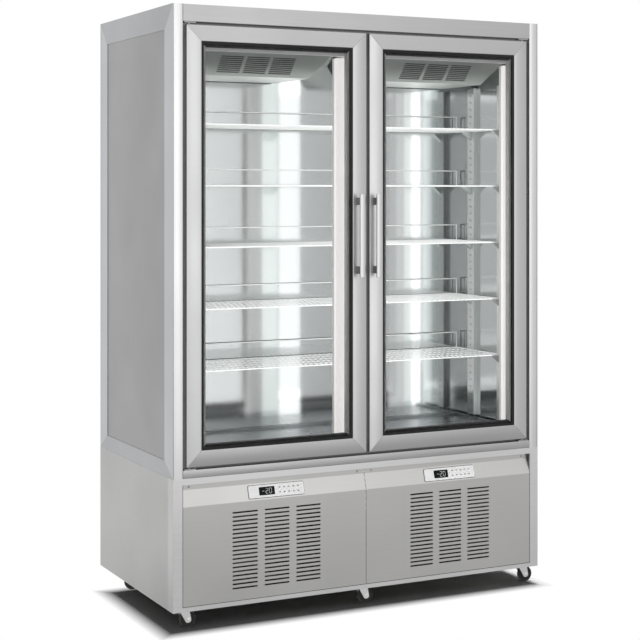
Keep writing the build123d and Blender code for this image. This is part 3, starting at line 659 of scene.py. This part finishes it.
def finish(name):
    """The finish of that name, made at its first use."""
    made = bpy.data.materials.get(name)
    if made:
        return made
    colours = bpy.context.scene.case_colours
    satin = dict(metallic=1.0, spread=0.03)
    anodised = dict(metallic=1.0, spread=0.02, bump=0.02)
    makers = {
        # Painted light on the front posts and painted shade on the head and sill rails, through their tones
        "front_upright": lambda: surface(name, colours.front_post_lit_tone, 0.30, grain=ALONG_Z, **satin),
        "front_level": lambda: surface(name, colours.front_steel, 0.34, grain=ALONG_X, **satin),
        # Painted light on the side stiles and painted shade on the side frames' level rails, through their
        # tones
        "side_upright": lambda: surface(name, colours.side_stile_lit_tone, 0.38, grain=ALONG_Z, **satin),
        "side_level": lambda: surface(name, colours.side_rail_shaded_tone, 0.38, grain=ALONG_Y, **satin),
        "side_brushed": lambda: surface(name, colours.side_sheet, 0.42, grain=ALONG_Z, **satin),
        # Painted shade on the doors' level rails and painted light on their stiles, through their tones
        "door_satin": lambda: surface(name, colours.door_rail_shaded_tone, 0.36, **anodised),
        "stile_satin": lambda: surface(name, colours.door_stile_lit_tone, 0.33, **anodised),
        # Painted light: the pale colour of the side spacer bars
        "spacer_painted_light": lambda: surface(name, colours.lamp, 0.35, bump=0.01),
        # Painted shade: the base frame's end faces along X are dimmed to two thirds of its tone
        "base_rail_side_shade": lambda: painted_side_shade(surface(name, colours.base_frame, 0.38, grain=ALONG_X, **satin),
                                   reach=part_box("base_frame")[1][0], share=0.66),
        # Painted light: the centre mullion is no lamp but glows a little
        "mullion_painted_glow": lambda: lamp_and_painted_glow(name, colours.lamp, strength=0.25, rough=0.4),
        "handle_brushed": lambda: surface(name, colours.handle, 0.28, grain=ALONG_Z, **satin),
        "liner_polished": lambda: surface(name, colours.liner, 0.11, metallic=1.0, grain=ALONG_Z, spread=0.02,
                                          bump=0.003, edge=0.0004),
        # Painted light: the plastic trim round the opening is no lamp but glows a little
        "trim_painted_glow": lambda: lamp_and_painted_glow(name, colours.trim, strength=0.26, rough=0.35),
        "lamp_milky": lambda: lamp_and_painted_glow(name, colours.lamp, strength=0.78, rough=0.4),
        # Painted light: the lamps' aluminium backs glow as if lit
        "lamp_back_painted_glow": lambda: lamp_and_painted_glow(name, colours.lamp, strength=0.22, rough=0.4),
        "lamp_metal": lambda: surface(name, colours.aluminium, 0.4, metallic=1.0),
        "tray_brushed": lambda: surface(name, colours.tray, 0.30, grain=ALONG_X, **satin),
        "wire_coated": lambda: surface(name, colours.wire, 0.30, bump=0.01, coat=0.3),
        "support_satin": lambda: surface(name, colours.support, 0.35, grain=ALONG_Z, **satin),
        "hood_enamel": lambda: surface(name, colours.hood, 0.35, bump=0.02, coat=0.2),
        "base_satin": lambda: surface(name, colours.base, 0.45, metallic=0.9, bump=0.02),
        "vent_satin": lambda: surface(name, colours.vent, 0.38, metallic=1.0, grain=ALONG_X, spread=0.015,
                                      bump=0.015),
        # Painted light: the controllers' white plastic is no lamp but glows
        "bezel_painted_glow": lambda: lamp_and_painted_glow(name, colours.bezel, strength=0.66, rough=0.3),
        "rubber_black": lambda: surface(name, colours.rubber, 0.55, bump=0.08, spread=0.2),
        "zinc_plated": lambda: surface(name, colours.zinc, 0.36, metallic=1.0, spread=0.08),
        # Painted light: the caster forks' brighter plating tone
        "fork_plated_painted_light": lambda: surface(name, colours.fork, 0.32, metallic=1.0, spread=0.05),
        "copper_bare": lambda: surface(name, colours.copper, 0.3, metallic=1.0, spread=0.08),
        "foam_rigid": lambda: surface(name, colours.foam, 0.8, spread=0.08, bump=0.2),
        "black_gloss": lambda: surface(name, colours.black, 0.25, bump=0.005, gloss=0.12),
        "black_satin": lambda: surface(name, colours.black, 0.5, bump=0.05, spread=0.15),
        # Painted shade: the dark tone of the handle posts
        "post_painted_shade": lambda: surface(name, colours.post, 0.35, metallic=1.0, spread=0.05),
        "key_grey": lambda: surface(name, colours.key, 0.5, bump=0.01),
        "figure_lit": lambda: lamp_and_painted_glow(name, colours.figure, strength=0.30, rough=0.4),
        "glass_clear": lambda: clear_glass(name),
    }
    return makers[name]()


class CASE_OT_front_frame(bpy.types.Operator):
    """Posts and rails round the doors."""

    bl_idname = "display_case.front_frame"
    bl_label = "Front frame"

    def execute(self, context):
        sizes = context.scene.case_sizes
        low, high = corners_of("front_frame")
        wide, deep, tall = high - low
        post = rounded_rectangle(sizes.post_width, deep, sizes.edge)
        posts = [
            bar(low, Z, X, Y, tall, post),
            bar((high[0], low[1], low[2]), Z, -X, Y, tall, post),
        ]
        make_piece("front_posts", join(posts), "front_upright", "cabinet", ["front_frame"])
        start = (low[0] + sizes.post_width, low[1], low[2])
        length = wide - 2 * sizes.post_width
        sill = rounded_rectangle(sizes.sill_height, deep, sizes.edge)
        head = rounded_rectangle(sizes.head_height, deep, sizes.edge)
        rails = [
            bar(start, X, Z, Y, length, sill, joint=sizes.joint),
            bar((start[0], low[1], high[2]), X, -Z, Y, length, head, joint=sizes.joint),
        ]
        make_piece("front_rails", join(rails), "front_level", "cabinet")
        return {"FINISHED"}


class CASE_OT_side_frames(bpy.types.Operator):
    """Mitred side frames, with the side, roof and back sheets."""

    bl_idname = "display_case.side_frames"
    bl_label = "Side frames and sheets"

    def execute(self, context):
        sizes = context.scene.case_sizes
        low, high = corners_of("side_frames")
        size = high[1] - low[1], high[2] - low[2]
        widths = sizes.side_stile, sizes.side_stile, sizes.side_bottom, sizes.side_top
        uprights, levels = [], []
        for x, inward in ((low[0], X), (high[0], -X)):
            rails = mitred_frame((x, low[1], low[2]), Y, Z, inward, size, widths, sizes.sheet,
                                 sizes.sheet_edge, sizes.joint)
            uprights += rails[:2]
            levels += rails[2:]
        make_piece("side_stiles", join(uprights), "side_upright", "cabinet",
                   ["side_frames"])
        make_piece("side_rails", join(levels), "side_level", "cabinet")
        dress("side_brushed", "side_panels", "roof_panel", "back_panel")
        dress("foam_rigid", "insulation")
        return {"FINISHED"}


class CASE_OT_doors(bpy.types.Operator):
    """Door frames with mitred rails and spacer bars, glass, seals and pivots."""

    bl_idname = "display_case.doors"
    bl_label = "Doors"

    def execute(self, context):
        sizes = context.scene.case_sizes
        rail, inset = sizes.door_rail, sizes.door_rail + sizes.glass_edge
        for side in SIDES:
            low, high = corners_of(f"door_frame_{side}")
            size = np.array((high[0] - low[0], high[2] - low[2]))
            rails = mitred_frame(low, X, Z, Y, size, (rail,) * 4, sizes.door_depth, sizes.edge, sizes.joint)
            body = f"door_{side}"
            make_piece(f"door_stiles_{side}", join(rails[:2]), "stile_satin", body,
                       [f"door_frame_{side}"])
            make_piece(f"door_levels_{side}", join(rails[2:]), "door_satin", body)
            corner = low + (inset, sizes.spacer_front, inset)
            bars = mitred_frame(corner, X, Z, Y, size - 2 * inset, (sizes.spacer,) * 4, sizes.spacer_depth,
                                sizes.sheet_edge, sizes.joint)
            # Painted light and shade: the spacer bars are one part, the side bars drawn in the pale
            # lamp-cover colour and the level bars black
            make_piece(f"spacer_uprights_{side}", join(bars[:2]), "spacer_painted_light", body)
            make_piece(f"spacer_levels_painted_shade_{side}", join(bars[2:]), "rubber_black", body)
            dress("glass_clear", f"door_glass_{side}")
            dress("rubber_black", f"door_gasket_{side}")
        dress("zinc_plated", "hinge_pivots")
        return {"FINISHED"}


class CASE_OT_handles(bpy.types.Operator):
    """Handle bars on two posts each."""

    bl_idname = "display_case.handles"
    bl_label = "Door handles"

    def execute(self, context):
        sizes = context.scene.case_sizes
        for side in SIDES:
            low, high = corners_of(f"door_handle_{side}")
            wide, _, tall = high - low
            outline = rounded_rectangle(wide, sizes.handle_thickness, sizes.handle_edge)
            grip = bar(low, Z, X, Y, tall, outline)
            middle = (low[0] + high[0]) / 2
            back = low[1] + sizes.handle_thickness
            half, rise = sizes.handle_post / 2, sizes.handle_post_height / 2
            posts = [block((middle - half, back, z - rise), (middle + half, high[1], z + rise))
                     for z in (low[2] + sizes.handle_end, high[2] - sizes.handle_end)]
            body = f"door_{side}"
            make_piece(f"handle_bar_{side}", grip, "handle_brushed", body,
                       [f"door_handle_{side}"], bevel=sizes.sheet_edge)
            make_piece(f"handle_posts_{side}", join(posts), "post_painted_shade", body,
                       bevel=sizes.sheet_edge)
        return {"FINISHED"}


class CASE_OT_shelves(bpy.types.Operator):
    """Wire shelves with round wires, a thicker border and a raised wire along the back."""

    bl_idname = "display_case.shelves"
    bl_label = "Shelves"

    def execute(self, context):
        sizes = context.scene.case_sizes
        for name in SHELVES:
            low, high = corners_of(name)
            wires = join(self.grid(sizes, low, high))
            make_piece(f"{name}_wires", wires, "wire_coated", "cabinet", [name])
        return {"FINISHED"}

    def grid(self, sizes, low, high):
        """One shelf: wires to the back, cross wires under them, the border and the raised wire."""
        thick, thin = sizes.wire_border, sizes.wire
        x0, x1 = low[0], high[0]
        y0, y1 = low[1] + thick, high[1] - thick
        deck = low[2] + sizes.shelf_thickness
        count = int((x1 - x0) / sizes.wire_pitch)
        columns = np.linspace(x0 + thick, x1 - thick, count + 1)[1:-1]
        level = np.full(len(columns), deck - thin)
        wires = rods(np.column_stack((columns, np.full_like(columns, y0), level)),
                     np.column_stack((columns, np.full_like(columns, y1), level)), thin, sides=8)
        rows = np.linspace(y0, y1, sizes.cross_wires + 2)[1:-1]
        under = np.full(len(rows), low[2] + thin)
        ties = rods(np.column_stack((np.full_like(rows, x0 + thick), rows, under)),
                    np.column_stack((np.full_like(rows, x1 - thick), rows, under)), thin, sides=8)
        a, b, z, top = x0 + thick, x1 - thick, low[2] + thick, high[2] - thick
        border = rods(
            [(x0, y0, z), (x0, y1, z), (a, y0, z), (b, y0, z), (x0, y1, top), (a, y1, z), (b, y1, z)],
            [(x1, y0, z), (x1, y1, z), (a, y1, z), (b, y1, z), (x1, y1, top), (a, y1, top), (b, y1, top)],
            thick, sides=12)
        return [wires, ties, border]


class CASE_OT_cold_space(bpy.types.Operator):
    """Liner, trim, lamps, tray, shelf supports and evaporators."""

    bl_idname = "display_case.cold_space"
    bl_label = "Cold space"

    def execute(self, context):
        sizes = context.scene.case_sizes
        dress("liner_polished", "inner_liner")
        dress("trim_painted_glow", "opening_trim")
        dress("mullion_painted_glow", "center_mullion")
        dress("lamp_metal", "evaporator_coils", "condensers")
        dress("lamp_back_painted_glow", "lamp_housings")
        dress("lamp_milky", "lamp_diffusers")
        dress("tray_brushed", "floor_tray")
        dress("support_satin", "shelf_uprights", "shelf_brackets")
        dress("hood_enamel", "evaporator_hoods")
        # Painted shade: dark sheets behind the hood slots
        shades = [self.shade(sizes, side * sizes.hood_centre) for side in (-1, 1)]
        make_piece("hood_painted_shades", join(shades), "black_satin", "cabinet")
        return {"FINISHED"}

    def shade(self, sizes, x):
        """A dark sheet of painted shade behind the slots of a hood's sloping front, where the hood's inside
        lies in shade.
        """
        low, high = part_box("evaporator_hoods")
        gap, share = sizes.hood_painted_shade_gap, sizes.hood_painted_shade_share
        run = np.array((0.0, sizes.hood_slope, low[2] - high[2]))
        start = np.array((x - sizes.hood_painted_shade / 2, low[1] + gap, high[2])) + run * (1 - share) / 2
        run *= share
        length = np.linalg.norm(run)
        outline = np.array([[0, 0], [sizes.hood_painted_shade, 0], [sizes.hood_painted_shade, length], [0, length]])
        return plate(outline, start, X, run / length, -sizes.sheet)


class CASE_OT_base(bpy.types.Operator):
    """Base frame, panels, dark strips of painted shade at the vent panels' sides and foot, and machinery."""

    bl_idname = "display_case.base"
    bl_label = "Base"

    def execute(self, context):
        dress("base_rail_side_shade", "base_frame")
        dress("base_satin", "base_panels")
        dress("vent_satin", "vent_panels")
        dress("zinc_plated", "base_pan", "panel_screws", "caster_plates")
        dress("copper_bare", "refrigerant_lines")
        fans = [f"{kind}_fan_{side}" for kind in ("evaporator", "condenser") for side in SIDES]
        dress("black_satin", "compressors", "fan_motors", "drain_pan", "cable_gland", *fans)
        sizes = context.scene.case_sizes
        low, high = corners_of("vent_panels")
        # Dark strips of painted shade at the vent panels' sides and foot, where their gaps lie in shade
        seam, deep = sizes.seam, sizes.painted_gap_shade_depth
        front, back = low[1] - deep, low[1] + deep
        painted_gap_shades = [
            block((low[0] - seam, front, low[2] - seam), (low[0], back, high[2])),
            block((high[0], front, low[2] - seam), (high[0] + seam, back, high[2])),
            block((low[0], front, low[2] - seam), (high[0], back, low[2])),
        ]
        make_piece("panel_painted_gap_shades", join(painted_gap_shades), "black_satin", "cabinet")
        return {"FINISHED"}


class CASE_OT_controllers(bpy.types.Operator):
    """Controller bezels with a display window, lit figures, key marks and a dark outline of painted shade
    round each.
    """

    bl_idname = "display_case.controllers"
    bl_label = "Controllers"

    def execute(self, context):
        sizes = context.scene.case_sizes
        low, high = corners_of("controllers")
        half = sizes.bezel_width / 2
        slope = math.atan2(sizes.fascia_recess, sizes.fascia_height)
        up = np.array((0.0, math.sin(slope), math.cos(slope)))
        out = np.cross(X, up)
        face_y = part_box("vent_panels")[0][1] + sizes.fascia_recess / 2
        pane, pane_corner = 0.0006, 0.002
        rim_shade_depth, rim_shade_corner = 0.0010, 0.005
        bezels, windows, figures, keys = [], [], [], []
        for x in (low[0] + half, high[0] - half):
            centre = np.array((x, face_y, sizes.fascia_middle))
            bezels.append(self.bezel(sizes, centre, up, out))
            window = centre + sizes.window_offset * X + sizes.bezel_depth * out
            glass = rounded_rectangle(sizes.window_width, sizes.window_height, pane_corner)
            glass -= (sizes.window_width / 2, sizes.window_height / 2)
            windows.append(plate(glass, window, X, up, pane))
            # Painted shade: a black outline just larger than the bezel, for the shade in the gap round it
            rim = np.array((sizes.bezel_width, sizes.bezel_height)) + 2 * sizes.bezel_rim_shade
            rim_shade = rounded_rectangle(*rim, rim_shade_corner) - rim / 2
            windows.append(plate(rim_shade, centre, X, up, rim_shade_depth))
            figures += self.lit_figures(sizes.figures, window + pane * out, up)
            keys += self.key_marks(centre + sizes.bezel_depth * out, up)
        make_piece("controller_bezels", join(bezels), "bezel_painted_glow", "cabinet",
                   ["controllers"])
        make_piece("controller_windows_and_rim_shade", join(windows), "black_gloss", "cabinet",
                   ["controller_displays"])
        make_piece("controller_figures", join(figures), "figure_lit", "cabinet")
        make_piece("controller_keys", join(keys), "key_grey", "cabinet")
        return {"FINISHED"}

    def bezel(self, sizes, centre, up, out):
        """The front plate, its front edge rounded in two steps, each an inset and a height."""
        corner = 0.004
        steps = ((0.0, 0.0), (0.0, 0.0026), (0.0004, 0.0034), (0.0014, sizes.bezel_depth))
        rings = []
        for inset, height in steps:
            wide, high = sizes.bezel_width - 2 * inset, sizes.bezel_height - 2 * inset
            outline = rounded_rectangle(wide, high, corner - inset) - (wide / 2, high / 2)
            rings.append(centre + np.outer(outline[:, 0], X) + np.outer(outline[:, 1], up) + height * out)
        return loft(np.stack(rings))

    def lit_figures(self, text, centre, up):
        """Seven-segment figures side by side."""
        wide, high, thick, pitch = 0.0075, 0.015, 0.0017, 0.0118
        middle, gap = high / 2, 0.6
        ends = {
            "a": ((0, high), (wide, high)), "b": ((wide, high), (wide, middle)),
            "c": ((wide, middle), (wide, 0)), "d": ((0, 0), (wide, 0)), "e": ((0, 0), (0, middle)),
            "f": ((0, middle), (0, high)), "g": ((0, middle), (wide, middle)),
        }
        parts = []
        for place, figure in enumerate(text):
            shift = (place - (len(text) - 1) / 2) * pitch - wide / 2
            for segment in FIGURES[figure]:
                start, end = np.array(ends[segment])
                along = (end - start) / np.linalg.norm(end - start)
                side = np.array((-along[1], along[0])) * thick / 2
                start, end = start + along * thick * gap, end - along * thick * gap
                tip = along * thick / 2
                outline = np.array((start - tip, start - side, end - side,
                                    end + tip, end + side, start + side))
                outline += (shift, -high / 2)
                parts.append(plate(outline, centre, X, up, MARK))
        return parts

    def key_marks(self, centre, up):
        """Two rows of small key marks on the right of the window."""
        wide, high, corner = 0.0062, 0.0030, 0.001
        columns, first, pitch, rise = 5, 0.010, 0.0155, 0.0075
        parts = []
        for row in (-1, 1):
            for column in range(columns):
                mark = rounded_rectangle(wide, high, corner) - (wide / 2, high / 2)
                mark += (first + pitch * column, row * rise)
                parts.append(plate(mark, centre, X, up, MARK))
        return parts


class CASE_OT_casters(bpy.types.Operator):
    """Swivel forks with stamped cheeks, and rubber wheels with a hub."""

    bl_idname = "display_case.casters"
    bl_label = "Casters"

    def execute(self, context):
        for number in CASTERS:
            fork_low, fork_high = corners_of(f"caster_fork_{number}")
            wheel_low, wheel_high = corners_of(f"caster_wheel_{number}")
            axle = (wheel_low + wheel_high) / 2
            radius = (wheel_high[2] - wheel_low[2]) / 2
            half = (wheel_high[1] - wheel_low[1]) / 2
            self.fork(number, fork_low, fork_high, axle, half)
            self.wheel(number, axle, radius, half)
        return {"FINISHED"}

    def fork(self, number, low, high, axle, half):
        """Crown, two cheeks with round tips and the axle bolt."""
        crown_radius, crown, sheet, gap = 0.020, 0.004, 0.0025, 0.0015
        bore, neck, tip, axle_radius = 0.0052, 0.017, 0.009, 0.004
        lip, shoulder = crown * 0.6, crown_radius * 0.85
        rounding = (0.002, 0.008, 0.008, 0.002)
        centre = np.array((low[0] + crown_radius, axle[1], high[2] - crown))
        dome = [(crown_radius, 0), (crown_radius, lip), (shoulder, crown), (bore, crown)]
        parts = [lathe(dome, centre, Z)]
        corners = [(centre[0] - neck, centre[2]), (axle[0] - tip, axle[2] - tip),
                   (axle[0] + tip, axle[2] - tip), (centre[0] + neck, centre[2])]
        outline = rounded_outline(corners, rounding)
        reach = half + gap
        for y in (axle[1] - reach, axle[1] + reach + sheet):
            parts.append(plate(outline, (0, y, 0), X, Z, sheet))
        bolt = [(0.0058, 0), (0.0058, 0.0018), (0.0045, 0.0025)]
        for way in (-1, 1):
            parts.append(lathe(bolt, axle + way * (reach + sheet) * Y, way * Y, sides=6))
        parts.append(lathe([(axle_radius, -reach), (axle_radius, reach)], axle, Y, sides=24))
        parts.append(block((centre[0] - neck, axle[1] - reach - sheet, centre[2]),
                           (centre[0] + neck, axle[1] + reach + sheet, centre[2] + lip)))
        make_piece(f"fork_{number}", join(parts), "fork_plated_painted_light", f"caster_fork_{number}",
                   [f"caster_fork_{number}"])

    def wheel(self, number, axle, radius, half):
        """Tyre with a rounded tread and a paler hub."""
        turns = np.linspace(0, math.pi / 2, 6)
        fillet = 0.005
        edge = fillet * np.column_stack((np.sin(turns), np.cos(turns))) + (radius - fillet, half - fillet)
        rim, face = radius * 0.62, half * 0.86
        tyre = np.concatenate(([(rim, -half)], (edge * (1, -1)), edge[::-1], [(rim, half)]))
        hub = [(rim, -face), (rim, face)]
        body = f"caster_wheel_{number}"
        make_piece(f"tyre_{number}", lathe(tyre, axle, Y), "rubber_black", body, [body])
        make_piece(f"hub_{number}", lathe(hub, axle, Y), "black_satin", body)


class CASE_OT_stage(bpy.types.Operator):
    """Camera, floor, world and lights."""

    bl_idname = "display_case.stage"
    bl_label = "Stage"

    def execute(self, context):
        settings = context.scene.case_stage
        context.scene.view_settings.view_transform = "Standard"
        self.camera(context, settings)
        self.floor(context, settings)
        self.world(context, settings)
        self.light(context, "key", settings.key, size=(3.2, 2.6), place=(-2.6, -3.6, 3.4))
        overhead = self.light(context, "overhead", settings.top, size=(2.4, 2.4), place=(1.1, 1.3, 5.5))
        overhead.visible_glossy = False
        self.inner_lights(context, settings)
        return {"FINISHED"}

    def inner_lights(self, context, settings):
        """Lit panels, which the back wall mirrors, and two soft lights for the shelves."""
        low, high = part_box("lamp_diffusers")
        tall, middle = high.z - low.z, (high.z + low.z) / 2
        for name, left, right, power in PANELS:
            width = right - left
            place = ((left + right) / 2, settings.panel_y, middle)
            lamp = self.light(context, name, settings.lamp * power * width * tall, (width, tall), place)
            lamp.rotation_euler = (math.pi / 2, 0.0, 0.0)
            lamp.visible_diffuse = False
            if name.startswith("green"):
                lamp.data.color = GREENISH
        soft, fill_gap, glow_y = (1.10, 1.05), 0.016, 0.085
        fill = self.light(context, "fill", settings.fill, soft, (0.0, high.y + fill_gap, middle))
        fill.rotation_euler = (math.pi / 2, 0.0, 0.0)
        fill.visible_glossy = False
        glow = self.light(context, "glow", settings.glow, soft, (0.0, glow_y, middle))
        glow.rotation_euler = (-math.pi / 2, 0.0, 0.0)
        glow.visible_camera = False

    def camera(self, context, settings):
        """A level camera, shifted down, as the photograph's."""
        lens = bpy.data.cameras.new("camera")
        lens.lens = settings.lens
        lens.sensor_width = 36.0
        lens.shift_y = settings.drop
        lens.dof.use_dof = False
        made = bpy.data.objects.new("camera", lens)
        made.location = settings.camera
        made.rotation_euler = (math.pi / 2, 0.0, -settings.yaw)
        context.scene.collection.objects.link(made)
        context.scene.camera = made

    def floor(self, context, settings):
        """A wide pale floor that keeps the shadow near the case and turns white away from it."""
        reach = 40.0
        corners = [(-reach, -reach, 0), (reach, -reach, 0), (reach, reach, 0), (-reach, reach, 0)]
        mesh = bpy.data.meshes.new("floor")
        mesh.from_pydata(corners, [], [(0, 1, 2, 3)])
        pale = surface("floor_pale", settings.floor, 0.7, grain=(2.0, 2.0, 2.0), spread=0.005, bump=0.0,
                       gloss=0.0)
        mesh.materials.append(pale)
        tree = pale.node_tree
        rays = tree.nodes.new("ShaderNodeLightPath").outputs
        matt = tree.nodes["Principled BSDF"].outputs["BSDF"]
        white = put(tree, "Emission", {}, "Emission")
        far = self.product(tree, self.beyond(tree, settings), rays["Is Camera Ray"])
        seen = put(tree, "MixShader", {"Fac": far, 1: matt, 2: white}, "Shader")
        mirror, mirrored = self.mirror_rays(tree, rays), self.mirrored_floor(tree, settings)
        whole = put(tree, "MixShader", {"Fac": mirror, 1: seen, 2: mirrored}, "Shader")
        tree.links.new(whole, tree.nodes["Material Output"].inputs["Surface"])
        made = bpy.data.objects.new("floor", mesh)
        context.scene.collection.objects.link(made)
        made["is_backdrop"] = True

    def mirrored_floor(self, tree, settings):
        """The floor where it is mirrored: darker before the case, and the room's tone away from it."""
        way = put(tree, "VectorMath", {0: place_on(tree)}, "Vector", "NORMALIZE")
        room = self.room_tone(tree, settings, sideways(tree, way))
        tone = graded(tree, self.away(tree, settings), 0.0, 1.0, settings.dark, room)
        return put(tree, "Emission", {"Strength": tone}, "Emission")

    def room_tone(self, tree, settings, direction):
        """The mirrored room's tone in a sideways direction."""
        tones = tree.nodes.new("ShaderNodeValToRGB")
        stops = tones.color_ramp.elements
        peak = max(tone for _, tone in ROOM)
        while len(stops) < len(ROOM):
            stops.new(1.0)
        for stop, (place, tone) in zip(stops, ROOM):
            stop.position = place
            stop.color = (tone / peak, tone / peak, tone / peak, 1.0)
        tree.links.new(direction, tones.inputs["Fac"])
        return graded(tree, tones.outputs["Color"], 0.0, 1.0, 0.0, peak * settings.room)

    def beyond(self, tree, settings):
        """Nought inside the rectangle of floor that keeps the shadow and one past it, with a fade between."""
        shift = (-settings.shadow_x, -settings.shadow_y, 0.0)
        place = put(tree, "Mapping", {"Vector": place_on(tree), "Location": shift}, "Vector")
        half = (settings.shadow_half_x, settings.shadow_half_y, 0.0)
        past = put(tree, "VectorMath", {0: self.unsigned(tree, place), 1: half}, "Vector", "SUBTRACT")
        fade = settings.shadow_fade / 2
        return graded(tree, self.larger(tree, past), -fade, fade, 0.0, 1.0)

    def away(self, tree, settings):
        """Nought on the darker mirrored floor and one away from it, measured in the case's half sizes."""
        _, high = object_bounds()
        mapping = {"Vector": place_on(tree), "Scale": (1 / high.x, 1 / high.y, 0.0),
                   "Location": (0.0, -settings.dark_place / high.y, 0.0)}
        place = self.unsigned(tree, put(tree, "Mapping", mapping, "Vector"))
        return graded(tree, self.larger(tree, place), settings.dark_near, settings.dark_far, 0.0, 1.0)

    def unsigned(self, tree, vector):
        """A vector with its signs taken off."""
        return put(tree, "VectorMath", {0: vector}, "Vector", "ABSOLUTE")

    def larger(self, tree, vector):
        """The larger of a vector's X and Y."""
        split = tree.nodes.new("ShaderNodeSeparateXYZ")
        tree.links.new(vector, split.inputs["Vector"])
        return put(tree, "Math", {0: split.outputs["X"], 1: split.outputs["Y"]}, "Value", "MAXIMUM")

    def product(self, tree, first, second):
        """The product of two sockets."""
        return put(tree, "Math", {0: first, 1: second}, "Value", "MULTIPLY")

    def mirror_rays(self, tree, rays):
        """One for rays that come from a mirror with no matt surface before it, else nought."""
        fresh = put(tree, "Math", {0: rays["Diffuse Depth"], 1: 0.5}, "Value", "LESS_THAN")
        return self.product(tree, fresh, rays["Is Glossy Ray"])

    def world(self, context, settings):
        """White where it is seen, graded sideways where it is mirrored, and a plain level as light."""
        world = bpy.data.worlds.new("studio")
        context.scene.world = world
        world.use_nodes = True
        tree = world.node_tree
        rays = tree.nodes.new("ShaderNodeLightPath").outputs
        way = put(tree, "TexCoord", {}, "Generated")
        mirrored = self.room_tone(tree, settings, sideways(tree, way))
        lit = graded(tree, self.mirror_rays(tree, rays), 0.0, 1.0, settings.ambient, mirrored)
        clear = {0: rays["Is Camera Ray"], 1: rays["Is Transmission Ray"]}
        seen = put(tree, "Math", clear, "Value", "MAXIMUM")
        back = tree.nodes["Background"].inputs
        back["Color"].default_value = (1.0, 1.0, 1.0, 1.0)
        tree.links.new(graded(tree, seen, 0.0, 1.0, lit, 1.0), back["Strength"])

    def light(self, context, name, power, size, place):
        """A soft rectangle of light turned towards the middle of the case."""
        lamp = bpy.data.lights.new(name, "AREA")
        lamp.shape = "RECTANGLE"
        lamp.size, lamp.size_y = size
        lamp.energy = power
        made = bpy.data.objects.new(name, lamp)
        made.location = place
        low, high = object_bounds()
        aim = (low + high) / 2 - made.location
        made.rotation_euler = aim.to_track_quat("-Z", "Y").to_euler()
        context.scene.collection.objects.link(made)
        return made


OPERATORS = (
    CASE_OT_front_frame, CASE_OT_side_frames, CASE_OT_doors, CASE_OT_handles, CASE_OT_shelves,
    CASE_OT_cold_space, CASE_OT_base, CASE_OT_controllers, CASE_OT_casters, CASE_OT_stage,
)


class CASE_PT_display_case(bpy.types.Panel):
    """Buttons for each group of pieces, with their sizes and colours."""

    bl_idname = "CASE_PT_display_case"
    bl_label = "Display case"
    bl_space_type = "VIEW_3D"
    bl_region_type = "UI"
    bl_category = "Display case"

    def draw(self, context):
        for operator in OPERATORS:
            self.layout.operator(operator.bl_idname)
        for group in (context.scene.case_sizes, context.scene.case_colours, context.scene.case_stage):
            box = self.layout.box()
            for name in group.bl_rna.properties.keys():
                if name not in ("rna_type", "name"):
                    box.prop(group, name)


CLASSES = (CaseSizes, CaseColours, StageSettings, *OPERATORS, CASE_PT_display_case)


def register():
    """Add the classes and the three groups of settings to Blender."""
    for made in CLASSES:
        bpy.utils.register_class(made)
    bpy.types.Scene.case_sizes = PointerProperty(type=CaseSizes)
    bpy.types.Scene.case_colours = PointerProperty(type=CaseColours)
    bpy.types.Scene.case_stage = PointerProperty(type=StageSettings)


def unregister():
    """Take them out again."""
    del bpy.types.Scene.case_sizes
    del bpy.types.Scene.case_colours
    del bpy.types.Scene.case_stage
    for made in reversed(CLASSES):
        bpy.utils.unregister_class(made)


def main():
    """Make every piece in order."""
    register()
    steps = bpy.ops.display_case
    steps.front_frame()
    steps.side_frames()
    steps.doors()
    steps.handles()
    steps.shelves()
    steps.cold_space()
    steps.base()
    steps.controllers()
    steps.casters()
    steps.stage()


if __name__ == "__main__":
    main()
